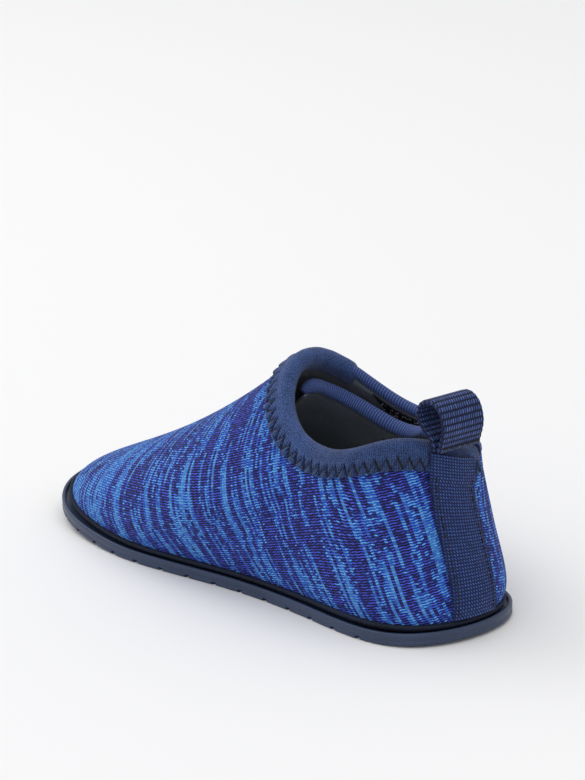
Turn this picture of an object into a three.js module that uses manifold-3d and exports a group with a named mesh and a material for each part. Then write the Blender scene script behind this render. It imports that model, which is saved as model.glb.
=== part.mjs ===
// A toddler's slip-on water shoe for the right foot: knit-faced neoprene upper, wrap-over side flap
// closed by hook and loop, webbing heel tape with a pull loop, and a thin moulded rubber outsole.
// Millimetres. +X points to the toe, +Y to the big-toe side, +Z up; the ground is z = 0.
// Around the shoe, t = 0 is the toe, PI the heel, 0..PI the big-toe side and -PI..0 the outer side.
// Up the upper, v = 0 is the feather line at the sole and v = 1 the collar line.
import * as THREE from 'three';
import { mergeVertices } from 'three/addons/utils/BufferGeometryUtils.js';
import Module from 'manifold-3d';

const { PI, abs, cos, exp, max, min, sign, sin, sqrt } = Math;

// Outsole
const SOLE_LENGTH = 156;
const BALL_WIDTH = 69;
const HEEL_WIDTH = 49.4;
const ARCH_DEPTH = 1.6; // how far the waist draws in on the big-toe side
const TOE_INFLARE = 5;
const TOE_SPRING = 4.6;
const HEEL_RISE = 0.9;
const HEEL_SQUARENESS = 8.4;
const TOE_SQUARENESS = 3.6;
const SIDEWALL_HEIGHT = 3.4;
const TRAY_FLOOR = 2.3; // thickness of rubber under the foot
const LIP_WIDTH = 1.0;
const EDGE_ROUND = 0.5;
const GROOVE_PITCH = 9;
const GROOVE_WIDTH = 1.6;
const GROOVE_DEPTH = 1.0;

// Collar line, the ridge of the binding round the ankle opening
const COLLAR_LENGTH = 51.4;
const COLLAR_WIDTH = 43.2;
const COLLAR_SETBACK = 10.5; // from the back of the sole to the heel of the collar
const COLLAR_SQUARENESS = 2.7;
const COLLAR_HEIGHT = 51.7; // mean height; the waves below lift the throat and the heel
const COLLAR_WAVES = { cos: [5.0, 4.4, 2.0, 0.1], sin: [2.1, 0.4, 2.0, -0.4] };

// How the upper bulges between the feather line and the collar, at the toe, the sides and the heel
const FEATHER_INSET = 3.5;
const FOOT_BULGE = { toe: 6.4, side: 6.6, heel: 9.9 };
const FOOT_RISE = { toe: 8.8, side: 7.5, heel: 7.5 };
const INSTEP_BACK = 41; // how far behind the toe the crown of the instep is drawn
const ANKLE_BULGE = { side: 7, heel: -1 };
const ANKLE_DROP = { toe: 39.6, side: 21.6, heel: 21.6 };

// The laminate: knit face, neoprene core, jersey lining
const FACE_THICKNESS = 0.4;
const CORE_THICKNESS = 1.6;
const LINING_THICKNESS = 0.4;
const GAP = 0.3; // clearance between glued or sewn layers
const SEAM_GAP = 0.6;

// Bindings, tapes and threads
const BINDING_LEG = 0.6; // thickness of the folded binding
const BINDING_DROP = 7.6; // how far the binding's outer leg reaches down from the collar line
const BINDING_INNER_DROP = 5.6;
const EDGE_ROLL = 2.6; // height of the ribbed roll on the flap's top edge
const QUARTER_ROLL = 3.9; // height of the ribbed roll on the inner quarter's edge
const QUARTER_EDGE_DROP = { rear: 0, front: 5 }; // how far that roll sits below the collar line
const QUARTER_LEAN = 1.3; // how much further in the quarter leans at its edge
const TAPE_WIDTH = 13.7;
const TAPE_THICKNESS = 1.0;
const TAPE_TOP_DROP = 2.4;
const WEBBING_THICKNESS = 1.4;
const THREAD_WIDTH = 0.6;
const THREAD_HEIGHT = 0.4;
const COLLAR_STITCH_PITCH = 2.7;
const COLLAR_STITCH_SWING = 1.1;
const RAND_THICKNESS = 0.6;
const RAND_BAND = { low: 0.035, high: 0.105 }; // the rand's edges, as v
const TAPE_LOW = 0.125; // lower end of the heel tape, as v
const TAPE_STITCH_INSET = 1.3;

// Side closure
const HINGE_AHEAD = 22.8; // from the middle of the collar to where the flap leaves the vamp
const FLAP_BEHIND = 14.2; // from the middle of the collar to the flap's free end
const FLAP_LOW = 0.5; // lower edge of the flap, as v
const FLAP_CORNER = 0.08;
const HOOK_THICKNESS = 0.6;
const LOOP_THICKNESS = 0.5;
const CLOSURE_LOW = 0.6; // lower edge of the hook and loop tapes, as v
const HOOK_MARGIN = 2; // from the flap's ends to the hook tape
const LOOP_MARGIN = 4;
const CLOSURE_STITCH_INSET = 2;
const TUCK_UNDER = { low: 0.24, high: 0.6 }; // how far in t the quarter runs on under the vamp

// Pull loop: a teardrop of webbing standing on the heel
const PULL_HEIGHT = 13.2;
const PULL_BULGE_BACK = 3.8;
const PULL_BULGE_FRONT = 5.8;

// Inside
const BOARD_CLEARANCE = 0.7; // over the outsole's tray
const BOARD_THICKNESS = 1.1;
const STROBEL_HEIGHT = 0.5;
const FOAM_THICKNESS = 2.0;
const FOOTBED_DRAW_IN = 7.8; // how much further the footbed stops short at the toe
const COVER_THICKNESS = 0.5;

const LAMINATE = FACE_THICKNESS + CORE_THICKNESS + LINING_THICKNESS + 2 * GAP;
const TUCK = LAMINATE + HOOK_THICKNESS + LOOP_THICKNESS + 4 * GAP;
const ROLL_TOP = 2.6; // height of the collar binding's round ridge above the laminate's edge
const EDGE_DROP = ROLL_TOP + GAP;
const HALF_LENGTH = SOLE_LENGTH / 2;
const COLLAR_X = COLLAR_SETBACK + COLLAR_LENGTH / 2 - HALF_LENGTH;
const VAMP_RUN = HALF_LENGTH - FEATHER_INSET - COLLAR_X - COLLAR_LENGTH / 2;
const INSTEP_BULGE = { toe: VAMP_RUN - INSTEP_BACK, ...ANKLE_BULGE };
const HINGE_X = COLLAR_X + HINGE_AHEAD;
const FLAP_BACK_X = COLLAR_X - FLAP_BEHIND;
const BOARD_BOTTOM = TRAY_FLOOR + BOARD_CLEARANCE;
const BOARD_INSET = FEATHER_INSET + LAMINATE + GAP;
const FOAM_BOTTOM = BOARD_BOTTOM + BOARD_THICKNESS + STROBEL_HEIGHT + 2 * GAP;
const FOOTBED_SIDE = FEATHER_INSET + LAMINATE - GAP;
const FOOTBED_INSET = { toe: FOOTBED_SIDE + FOOTBED_DRAW_IN, side: FOOTBED_SIDE };
const LOOP_TOP_DROP = BINDING_DROP + 1;

const lerp = THREE.MathUtils.lerp;
const smooth = (a, b, x) => THREE.MathUtils.smoothstep(x, a, b);
const vec = (x, y, z) => new THREE.Vector3(x, y, z);

// ---- Shape of the shoe -------------------------------------------------------------------------

// Height of the outsole's underside above the ground: toe spring and a slight heel rise.
function underside(x) {
  const q = x / HALF_LENGTH;
  return TOE_SPRING * max((q - 0.25) / 0.75, 0) ** 2 + HEEL_RISE * max((-q - 0.7) / 0.3, 0) ** 2;
}

// The outsole's plan outline, drawn in by an inset.
function outline(t, inset = 0) {
  const c = cos(t);
  const s = sin(t);
  const x = (HALF_LENGTH - inset) * c;
  const q = x / HALF_LENGTH;
  const halfWidth = lerp(HEEL_WIDTH, BALL_WIDTH, smooth(-0.55, 0.4, q)) / 2 - inset;
  const squareness = lerp(HEEL_SQUARENESS, TOE_SQUARENESS, smooth(-0.6, 0.6, q));
  const waist = (s > 0 ? 1 : 0.25) * ARCH_DEPTH * exp(-(((q + 0.12) / 0.28) ** 2));
  let y = halfWidth * sign(s) * sqrt(max(1 - abs(c) ** squareness, 0));
  y -= waist * sign(s) * min(1, abs(s) * 1.5);
  y += TOE_INFLARE * smooth(0.1, 1, q);
  return vec(x, y, 0);
}

function featherLine(t) {
  const p = outline(t, FEATHER_INSET);
  p.z = underside(p.x) + TRAY_FLOOR + 0.4;
  return p;
}

function collarLine(t) {
  const c = cos(t);
  const s = sin(t);
  const x = COLLAR_X + (COLLAR_LENGTH / 2) * c;
  const y = (COLLAR_WIDTH / 2) * sign(s) * sqrt(max(1 - abs(c) ** COLLAR_SQUARENESS, 0));
  let z = COLLAR_HEIGHT;
  COLLAR_WAVES.cos.forEach((a, k) => (z += a * cos((k + 1) * t)));
  COLLAR_WAVES.sin.forEach((a, k) => (z += a * sin((k + 1) * t)));
  return vec(x, y, z);
}

// Blends a size given at the toe, the sides and the heel round the shoe.
function around(size, t) {
  const toe = max(cos(t), 0) ** 1.2;
  const heel = max(-cos(t), 0) ** 2;
  return size.toe * toe + size.heel * heel + size.side * (1 - toe - heel);
}

// A point of the upper's outer surface: a cubic from the feather line to the collar line.
function surface(t, v) {
  const out = vec(0.9 * cos(t), sin(t), 0);
  const foot = featherLine(t);
  const rim = collarLine(t);
  const low = foot.clone().addScaledVector(out, around(FOOT_BULGE, t));
  low.z += around(FOOT_RISE, t);
  const high = rim.clone().addScaledVector(out, around(INSTEP_BULGE, t));
  high.z -= around(ANKLE_DROP, t);
  return new THREE.CubicBezierCurve3(foot, low, high, rim).getPoint(v);
}

function frameAt(t, v) {
  const dt = 1e-3;
  const dv = 1e-3;
  const v0 = min(v, 1 - dv);
  const along = surface(t + dt, v).sub(surface(t - dt, v)).normalize();
  const up = surface(t, v0 + dv).sub(surface(t, v0 - (v0 > dv ? dv : 0))).normalize();
  const normal = along.clone().cross(up).normalize();
  return { point: surface(t, v), along, up, normal };
}

function offset(t, v, n) {
  const f = frameAt(t, v);
  return f.point.addScaledVector(f.normal, n);
}

// The v that lies a given distance down the surface from the collar line.
function dropTo(t, distance) {
  const step = 0.01;
  let last = surface(t, 1);
  let travelled = 0;
  for (let v = 1 - step; v > 0; v -= step) {
    const next = surface(t, v);
    const length = next.distanceTo(last);
    if (travelled + length >= distance) return v + step * (1 - (distance - travelled) / length);
    travelled += length;
    last = next;
  }
  return 0;
}

// Finds where a rising function of t crosses a value.
function crossing(f, target, low, high) {
  for (let i = 0; i < 40; i += 1) {
    const mid = (low + high) / 2;
    if (f(mid) < target) low = mid;
    else high = mid;
  }
  return (low + high) / 2;
}

const outerSideAtX = (x, v) => crossing((t) => surface(t, v).x, x, -PI, 0);
const heelAtY = (y, v) => crossing((t) => -surface(t, v).y, -y, PI - 1.2, PI + 1.2);

// ---- Closed bodies -----------------------------------------------------------------------------

function body(points, faces) {
  const geometry = new THREE.BufferGeometry();
  const numbers = points.flatMap((p) => [p.x, p.y, p.z]);
  geometry.setAttribute('position', new THREE.Float32BufferAttribute(numbers, 3));
  geometry.setIndex(faces);
  geometry.computeVertexNormals();
  return geometry;
}

// Two triangles over four corners taken in order.
function quad(a, b, c, d) {
  return [a, b, c, a, c, d];
}

// A curved sheet with thickness: at(u, w) gives its outer point, under(u, w) its inner point.
function sheet(across, up, at, under) {
  const points = [];
  for (const side of [at, under])
    for (let j = 0; j <= up; j += 1)
      for (let i = 0; i <= across; i += 1) points.push(side(i / across, j / up));
  const row = across + 1;
  const layer = row * (up + 1);
  const faces = [];
  for (let j = 0; j < up; j += 1)
    for (let i = 0; i < across; i += 1) {
      const a = j * row + i;
      faces.push(...quad(a, a + 1, a + 1 + row, a + row));
      faces.push(...quad(a + layer, a + row + layer, a + 1 + row + layer, a + 1 + layer));
    }
  for (let i = 0; i < across; i += 1) {
    const top = up * row + i;
    faces.push(...quad(i, i + layer, i + 1 + layer, i + 1));
    faces.push(...quad(top, top + 1, top + 1 + layer, top + layer));
  }
  for (let j = 0; j < up; j += 1) {
    const left = j * row;
    const right = left + across;
    faces.push(...quad(left, left + row, left + row + layer, left + layer));
    faces.push(...quad(right, right + layer, right + row + layer, right + row));
  }
  return body(points, faces);
}

// A bar of any section swept through steps; sections run clockwise seen along the sweep.
function sweep(sections, closed = false) {
  const points = sections.flat();
  const n = sections[0].length;
  const count = sections.length;
  const faces = [];
  for (let k = 0; k < (closed ? count : count - 1); k += 1)
    for (let i = 0; i < n; i += 1) {
      const a = k * n + i;
      const b = k * n + ((i + 1) % n);
      const c = ((k + 1) % count) * n + ((i + 1) % n);
      const d = ((k + 1) % count) * n + i;
      faces.push(...quad(a, b, c, d));
    }
  if (!closed) {
    const last = (count - 1) * n;
    for (const [a, b, c] of THREE.ShapeUtils.triangulateShape(flatten(sections[0]), [])) {
      faces.push(a, c, b, last + a, last + b, last + c);
    }
  }
  const geometry = body(points, faces);
  return signedVolume(geometry) < 0 ? turned(geometry) : geometry;
}

// Lays a planar loop of points flat, for triangulating its cap.
function flatten(loop) {
  const origin = loop[0];
  const x = loop[1].clone().sub(origin).normalize();
  const normal = vec(0, 0, 0);
  loop.forEach((p, i) => {
    const q = loop[(i + 1) % loop.length];
    normal.add(p.clone().sub(origin).cross(q.clone().sub(origin)));
  });
  const y = normal.normalize().cross(x);
  return loop.map((p) => {
    const r = p.clone().sub(origin);
    return new THREE.Vector2(r.dot(x), r.dot(y));
  });
}

function signedVolume(geometry) {
  const p = geometry.attributes.position;
  const index = geometry.index.array;
  const at = (k) => vec(0, 0, 0).fromBufferAttribute(p, index[k]);
  let volume = 0;
  for (let k = 0; k < index.length; k += 3) volume += at(k).dot(at(k + 1).cross(at(k + 2))) / 6;
  return volume;
}

function turned(geometry) {
  const index = [...geometry.index.array];
  for (let k = 0; k < index.length; k += 3) [index[k + 1], index[k + 2]] = [index[k + 2], index[k + 1]];
  geometry.setIndex(index);
  return geometry;
}

// A dome-like body of rings round the shoe, closed to a point at its first and last ring.
function rings(steps, list) {
  const points = [list[0](0, 0)];
  const middle = list.slice(1, -1);
  for (const ring of middle) for (let i = 0; i < steps; i += 1) points.push(ring((2 * PI * i) / steps));
  points.push(list[list.length - 1](0));
  const faces = [];
  const last = points.length - 1;
  for (let i = 0; i < steps; i += 1) {
    const next = (i + 1) % steps;
    faces.push(0, 1 + next, 1 + i);
    const base = 1 + (middle.length - 1) * steps;
    faces.push(last, base + i, base + next);
    for (let k = 0; k < middle.length - 1; k += 1) {
      const a = 1 + k * steps;
      faces.push(...quad(a + i, a + next, a + next + steps, a + i + steps));
    }
  }
  const geometry = body(points, faces);
  return signedVolume(geometry) < 0 ? turned(geometry) : geometry;
}

// A ring at an inset and a height above the underside, shrunk towards the middle by a share.
// An inset given for the toe and the side draws the ring in more round the toe.
function plate(inset, height, share = 1) {
  return (t) => {
    const drawn = inset.toe === undefined ? inset : lerp(inset.side, inset.toe, max(cos(t), 0) ** 3.5);
    const p = outline(t, drawn).multiplyScalar(share);
    p.z = underside(p.x) + height;
    return p;
  };
}

// A thread laid along points on a surface; each point carries its surface normal.
function thread(path, width = THREAD_WIDTH, height = THREAD_HEIGHT, closed = false) {
  const count = path.length;
  const near = (i) => path[closed ? (i + count) % count : min(max(i, 0), count - 1)].point;
  const sections = path.map(({ point, normal }, i) => {
    const before = near(i - 1);
    const after = near(i + 1);
    const side = after.clone().sub(before).cross(normal).normalize();
    const corner = (a, b) =>
      point.clone().addScaledVector(side, (a * width) / 2).addScaledVector(normal, b * height);
    return [corner(-1, 0), corner(1, 0), corner(1, 1), corner(-1, 1)];
  });
  return sweep(sections, closed);
}

const onSurface = (t, v, n) => ({ point: offset(t, v, n), normal: frameAt(t, v).normal });

// ---- Panels of the upper -----------------------------------------------------------------------

const PANEL_ROWS = 10;
const LAYERS = {
  face: [0, FACE_THICKNESS],
  core: [FACE_THICKNESS + GAP, CORE_THICKNESS],
  lining: [FACE_THICKNESS + CORE_THICKNESS + 2 * GAP, LINING_THICKNESS],
};

// One layer of a panel. region(u, w) gives t and v; sink(t, v) how far the panel sits inside.
function panel(layer, across, rows, region, sink = () => 0) {
  const [depth, thickness] = LAYERS[layer];
  const at = (n) => (u, w) => {
    const [t, v] = region(u, w);
    return offset(t, v, -sink(t, v) - n);
  };
  return sheet(across, rows, at(depth), at(depth + thickness));
}

// Rows crowd towards the sole and the collar, where the upper turns most.
const crowd = (w) => w - (0.6 * sin(2 * PI * w)) / (2 * PI);
const heelSeam = SEAM_GAP / HEEL_WIDTH;

function vampRegion(u, w) {
  const rough = crowd(w);
  const front = outerSideAtX(HINGE_X, rough);
  const t = lerp(front, PI - heelSeam, u);
  return [t, rough * dropTo(t, EDGE_DROP)];
}

// 0 where the quarter is flush with the upper, 1 where it lies under the flap.
function underFlap(t, v) {
  const x = surface(t, v).x;
  return smooth(FLAP_LOW - 0.16, FLAP_LOW - 0.04, v) * smooth(FLAP_BACK_X - 7, FLAP_BACK_X - 1.5, x);
}

function quarterSink(t, v) {
  return underFlap(t, v) * (TUCK + QUARTER_LEAN * smooth(0.6, 0.9, v));
}

// The roll dips under the throat, where the vamp covers it.
function quarterDrop(t) {
  return lerp(QUARTER_EDGE_DROP.rear, QUARTER_EDGE_DROP.front, smooth(-0.95, -0.1, t));
}

function quarterTop(t) {
  return dropTo(t, lerp(EDGE_DROP, quarterDrop(t) + QUARTER_ROLL / 2 + GAP, underFlap(t, 0.9)));
}

// The seam draws back from the vamp's edge as the quarter starts to sink.
const drawBack = (v) => 2 * smooth(FLAP_LOW - 0.2, FLAP_LOW - 0.1, v);
const quarterSeam = (v) => outerSideAtX(HINGE_X - SEAM_GAP - drawBack(v), v);
const quarterTuck = (v) =>
  smooth(FLAP_LOW + 0.04, FLAP_LOW + 0.3, v) * lerp(TUCK_UNDER.low, TUCK_UNDER.high, v);
const quarterFront = (v) => quarterSeam(v) + quarterTuck(v);

// Most columns cover the wall behind the seam; the last few run on under the vamp.
function quarterRegion(u, w) {
  const rough = crowd(w);
  const wall = 0.7;
  const seam = quarterSeam(rough);
  const tuck = max((u - wall) / (1 - wall), 0) * quarterTuck(rough);
  const t = lerp(heelSeam - PI, seam, min(u / wall, 1)) + tuck;
  return [t, rough * quarterTop(t)];
}

function flapRegion(u, w, topDrop = EDGE_DROP, low = FLAP_LOW, margin = 0) {
  const back = outerSideAtX(FLAP_BACK_X + margin, lerp(low, 1, w));
  const front = outerSideAtX(HINGE_X - SEAM_GAP - margin, lerp(low, 1, w));
  const t = lerp(back, front, u);
  const corner = low + FLAP_CORNER * (1 - sqrt(1 - max(1 - u * 5, 0) ** 2));
  return [t, lerp(corner, dropTo(t, topDrop), w)];
}

// ---- Parts -------------------------------------------------------------------------------------

const shoe = new THREE.Group();

function add(name, geometry, color, roughness = 0.9) {
  const mesh = new THREE.Mesh(geometry, new THREE.MeshStandardMaterial({ color, roughness, metalness: 0 }));
  mesh.name = name;
  shoe.add(mesh);
}

const NAVY_RUBBER = '#333f57';
const NAVY_FABRIC = '#2e4070';
const KNIT_BLUE = '#3a50a8';
const FOAM_BLACK = '#1b1d22';
const FOAM_GREY = '#4a4f58';
const FOOTBED_GREY = '#30353d';
const BOARD_GREY = '#3a3f4a';
const LINING_GREY = '#232a36';
const RAND_NAVY = '#161c2b';
const TAPE_BLACK = '#111318';
const THREAD_BLACK = '#14161c';

function solid(wasm, geometry) {
  const plain = new THREE.BufferGeometry();
  plain.setAttribute('position', geometry.attributes.position);
  plain.setIndex(geometry.index);
  const merged = mergeVertices(plain, 1e-4);
  const vertProperties = Float32Array.from(merged.attributes.position.array);
  const triVerts = Uint32Array.from(merged.index.array);
  return new wasm.Manifold(new wasm.Mesh({ numProp: 3, vertProperties, triVerts }));
}

function unsolid(manifold) {
  const mesh = manifold.getMesh();
  const geometry = new THREE.BufferGeometry();
  geometry.setAttribute('position', new THREE.BufferAttribute(Float32Array.from(mesh.vertProperties), 3));
  geometry.setIndex([...mesh.triVerts]);
  geometry.computeVertexNormals();
  return geometry;
}

// A shallow rubber tray with a raised lip, cut across underneath by straight tread grooves.
async function outsole() {
  const wasm = await Module();
  wasm.setup();
  const lipInside = plate(LIP_WIDTH, SIDEWALL_HEIGHT);
  const tray = rings(52, [
    plate(0, 0, 0),
    ...[0.5, 0.8].map((share) => plate(EDGE_ROUND, 0, share)),
    plate(EDGE_ROUND, 0),
    plate(0, EDGE_ROUND),
    plate(0, SIDEWALL_HEIGHT - EDGE_ROUND),
    plate(EDGE_ROUND / 2, SIDEWALL_HEIGHT),
    lipInside,
    plate(LIP_WIDTH, TRAY_FLOOR),
    ...[0.8, 0.5].map((share) => plate(LIP_WIDTH, TRAY_FLOOR, share)),
    plate(0, TRAY_FLOOR, 0),
  ]);
  let cut = solid(wasm, tray);
  const perSide = Math.floor((HALF_LENGTH - GROOVE_PITCH) / GROOVE_PITCH);
  for (let i = -perSide; i < perSide; i += 1) {
    const x = (i + 0.5) * GROOVE_PITCH;
    const height = GROOVE_DEPTH + underside(x) + GROOVE_PITCH;
    const bar = new THREE.BoxGeometry(GROOVE_WIDTH, BALL_WIDTH * 2, height);
    bar.translate(x, 0, underside(x) + GROOVE_DEPTH - height / 2);
    cut = cut.subtract(solid(wasm, bar));
  }
  return unsolid(cut);
}

// A flat layer of the insole package, following the underside's curve.
function insole(inset, bottom, thickness) {
  const shares = [0.5, 0.8];
  return rings(44, [
    plate(inset, bottom, 0),
    ...shares.map((share) => plate(inset, bottom, share)),
    plate(inset, bottom),
    plate(inset, bottom + thickness),
    ...shares.toReversed().map((share) => plate(inset, bottom + thickness, share)),
    plate(inset, bottom + thickness, 0),
  ]);
}

// The cloth rand hugs the upper's foot just inside the outsole's lip.
function rand() {
  const steps = 64;
  const sections = [];
  for (let k = 0; k < steps; k += 1) {
    const t = (2 * PI * k) / steps;
    sections.push([
      offset(t, RAND_BAND.low, GAP),
      offset(t, RAND_BAND.high, GAP),
      offset(t, RAND_BAND.high, GAP + RAND_THICKNESS),
      offset(t, RAND_BAND.low, GAP + RAND_THICKNESS),
    ]);
  }
  return sweep(sections, true);
}

// Section of the folded collar binding: a round ridge with a leg down each side of the laminate.
function bindingSection(t) {
  const outer = GAP + BINDING_LEG;
  const inner = -LAMINATE - GAP - BINDING_LEG;
  const middle = (outer + inner) / 2;
  const radius = (outer - inner) / 2;
  const at = (n, s) => offset(t, dropTo(t, s), n);
  const section = [at(outer, BINDING_DROP), at(outer, (radius + BINDING_DROP) / 2)];
  for (const angle of [0, 0.25, 0.5, 0.75, 1]) {
    section.push(at(middle + radius * cos(angle * PI), radius * (1 - sin(angle * PI))));
  }
  section.push(at(inner, (radius + BINDING_INNER_DROP) / 2), at(inner, BINDING_INNER_DROP));
  section.push(at(inner + BINDING_LEG, BINDING_INNER_DROP));
  section.push(at(inner + BINDING_LEG, (EDGE_DROP + BINDING_INNER_DROP) / 2));
  section.push(at(inner + BINDING_LEG, EDGE_DROP - GAP), at(outer - BINDING_LEG, EDGE_DROP - GAP));
  section.push(at(outer - BINDING_LEG, (EDGE_DROP + BINDING_DROP) / 2));
  section.push(at(outer - BINDING_LEG, BINDING_DROP));
  return section;
}

const THROAT_CORNER = outerSideAtX(HINGE_X, 1);
const FLAP_BACK_T = outerSideAtX(FLAP_BACK_X, 1);
const COLLAR_END = outerSideAtX(FLAP_BACK_X - 8, 1);

// From the lateral heel round the big-toe side to the throat's outer corner.
function collarBinding() {
  const steps = 50;
  const from = COLLAR_END + 2 * PI;
  const sections = [];
  for (let k = 0; k <= steps; k += 1) {
    sections.push(bindingSection(lerp(from, THROAT_CORNER, k / steps)));
  }
  return sweep(sections);
}

// One continuous zigzag of thread along the binding's outer leg.
function collarStitching() {
  const length = PI * (COLLAR_LENGTH + COLLAR_WIDTH) * 0.42;
  const count = 2 * Math.round(length / COLLAR_STITCH_PITCH);
  const from = PI - 0.42;
  const path = [];
  for (let k = 0; k <= count; k += 1) {
    const t = lerp(from, THROAT_CORNER + 0.06, k / count);
    const s = BINDING_DROP - COLLAR_STITCH_SWING - 0.8 + (k % 2 ? 1 : -1) * COLLAR_STITCH_SWING;
    path.push(onSurface(t, dropTo(t, s), 2 * GAP + BINDING_LEG));
  }
  return thread(path);
}

// A plain rolled edge with no legs, standing on the flap's top edge.
function flapEdgeBinding() {
  const steps = 16;
  const radius = LAMINATE / 2;
  const sections = [];
  for (let k = 0; k <= steps; k += 1) {
    const t = lerp(FLAP_BACK_T + 0.01, outerSideAtX(HINGE_X - SEAM_GAP, 1), k / steps);
    const at = (n, s) => offset(t, dropTo(t, s), n);
    const section = [at(0, EDGE_ROLL)];
    for (const angle of [0, 0.2, 0.4, 0.6, 0.8, 1]) {
      section.push(at(-radius + radius * cos(angle * PI), radius * (1 - sin(angle * PI))));
    }
    section.push(at(-LAMINATE, EDGE_ROLL));
    sections.push(section);
  }
  return sweep(sections);
}

// The ribbed roll along the quarter's edge, from behind the flap to its end under the vamp.
function quarterEdgeBinding() {
  const steps = 26;
  const sections = [];
  for (let k = 0; k <= steps; k += 1) {
    const t = lerp(COLLAR_END + 0.03, quarterFront(1), k / steps);
    const hidden = underFlap(t, 0.9);
    const sink = quarterSink(t, 0.95);
    const top = lerp(0, quarterDrop(t), hidden);
    const radius = LAMINATE / 2 + BINDING_LEG;
    const foot = lerp(EDGE_DROP, quarterDrop(t) + QUARTER_ROLL / 2 + GAP, hidden) - 1.5 * GAP;
    const at = (n, s) => offset(t, dropTo(t, s), n - sink - LAMINATE / 2);
    const section = [at(radius * 0.8, foot)];
    for (const angle of [0.08, 0.3, 0.5, 0.7, 0.92]) {
      section.push(at(radius * cos(angle * PI), top + (foot - top) * (1 - sin(angle * PI))));
    }
    section.push(at(-radius * 0.8, foot));
    sections.push(section);
  }
  return sweep(sections);
}

function closureTape(outerDepth, thickness, topDrop, margin) {
  const at = (n) => (u, w) => {
    const [t, v] = flapRegion(u, w, topDrop, CLOSURE_LOW, margin);
    return offset(t, v, -n);
  };
  return sheet(10, 6, at(outerDepth), at(outerDepth + thickness));
}

// Heel webbing: it lies on the face, then steps up over the collar binding.
function heelTapeBase(t, v) {
  const low = dropTo(t, BINDING_DROP + 3.5);
  const high = dropTo(t, BINDING_DROP + 0.8);
  return GAP + (BINDING_LEG + GAP) * smooth(low, high, v);
}

function heelTape() {
  const region = (u, w) => {
    const v = lerp(TAPE_LOW, 1, w);
    const t = heelAtY(lerp(TAPE_WIDTH / 2, -TAPE_WIDTH / 2, u), v);
    return [t, lerp(TAPE_LOW, dropTo(t, TAPE_TOP_DROP), w)];
  };
  const at = (n) => (u, w) => {
    const [t, v] = region(u, w);
    return offset(t, v, heelTapeBase(t, v) + n);
  };
  return sheet(4, 16, at(TAPE_THICKNESS), at(0));
}

// A row of stitching down one edge of the heel tape.
function heelTapeStitch(side) {
  const y = side * (TAPE_WIDTH / 2 - TAPE_STITCH_INSET);
  const count = 24;
  const path = [];
  for (let k = 0; k <= count; k += 1) {
    const v = lerp(0.15, dropTo(PI, BINDING_DROP + 0.5), k / count);
    const t = heelAtY(y + (k % 2 ? 0.25 : -0.25), v);
    path.push(onSurface(t, v, heelTapeBase(t, v) + TAPE_THICKNESS + GAP));
  }
  return thread(path, 0.4);
}

// The zigzag that joins the two neoprene edges at the back of the heel, inside the tape.
function heelSeamStitch() {
  const count = 20;
  const path = [];
  const inside = -LAMINATE - GAP - THREAD_HEIGHT;
  for (let k = 0; k <= count; k += 1) {
    const v = lerp(0.2, dropTo(PI, BINDING_INNER_DROP + 1), k / count);
    const t = heelAtY(k % 2 ? 1 : -1, v);
    path.push(onSurface(t, v, inside));
  }
  return thread(path, 0.5, 0.3);
}

// Pull loop: both ends meet at the stitch line and the webbing bulges out between them.
function pullFoot() {
  const corner = (y) => {
    const t = heelAtY(y, 1);
    return offset(t, dropTo(t, TAPE_TOP_DROP), heelTapeBase(t, 1) + TAPE_THICKNESS);
  };
  const corners = [corner(TAPE_WIDTH / 2), corner(0), corner(-TAPE_WIDTH / 2)];
  return vec(corners[1].x + TAPE_THICKNESS, 0, max(...corners.map((p) => p.z)) + GAP);
}

function pullPath() {
  const foot = pullFoot();
  const half = WEBBING_THICKNESS / 2;
  const back = foot.x - half - 2 * GAP - half;
  const front = foot.x - half + GAP / 2;
  const top = foot.z + PULL_HEIGHT - half;
  const middle = foot.x - PULL_BULGE_BACK + (PULL_BULGE_BACK + PULL_BULGE_FRONT) / 2;
  const p = (x, z) => vec(x, 0, z);
  return new THREE.CatmullRomCurve3([
    p(back, foot.z),
    p(back - 0.7, foot.z + 2),
    p(foot.x - PULL_BULGE_BACK, foot.z + 0.5 * PULL_HEIGHT),
    p(foot.x - 0.6 * PULL_BULGE_BACK, foot.z + 0.83 * PULL_HEIGHT),
    p(middle, top),
    p(foot.x + 0.82 * PULL_BULGE_FRONT, foot.z + 0.83 * PULL_HEIGHT),
    p(foot.x + PULL_BULGE_FRONT, foot.z + 0.57 * PULL_HEIGHT),
    p(foot.x + 0.62 * PULL_BULGE_FRONT, foot.z + 0.36 * PULL_HEIGHT),
    p(foot.x + 0.18 * PULL_BULGE_FRONT, foot.z + 0.24 * PULL_HEIGHT),
    p(front, foot.z),
  ], false, 'centripetal');
}

function pullLoop() {
  const curve = pullPath();
  const steps = 30;
  const sections = [];
  for (let k = 0; k <= steps; k += 1) {
    const p = curve.getPointAt(k / steps);
    const tangent = curve.getTangentAt(k / steps);
    const across = vec(-tangent.z, 0, tangent.x).multiplyScalar(WEBBING_THICKNESS / 2);
    const corner = (a, y) => p.clone().addScaledVector(across, a).setY(y);
    const y = TAPE_WIDTH / 2;
    sections.push([corner(-1, -y), corner(1, -y), corner(1, y), corner(-1, y)]);
  }
  return sweep(sections);
}

// The bar tack across the foot of the pull loop.
function pullLoopTack() {
  const foot = pullFoot();
  const x = foot.x - 2 * WEBBING_THICKNESS - 2 * GAP - 0.25;
  const count = 10;
  const path = [];
  for (let k = 0; k <= count; k += 1) {
    const y = lerp(-1, 1, k / count) * (TAPE_WIDTH / 2 - 1);
    path.push({ point: vec(x, y, foot.z + 0.9 + (k % 2 ? 0.35 : -0.35)), normal: vec(-1, 0, 0) });
  }
  return thread(path, 0.6, 0.4);
}

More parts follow.
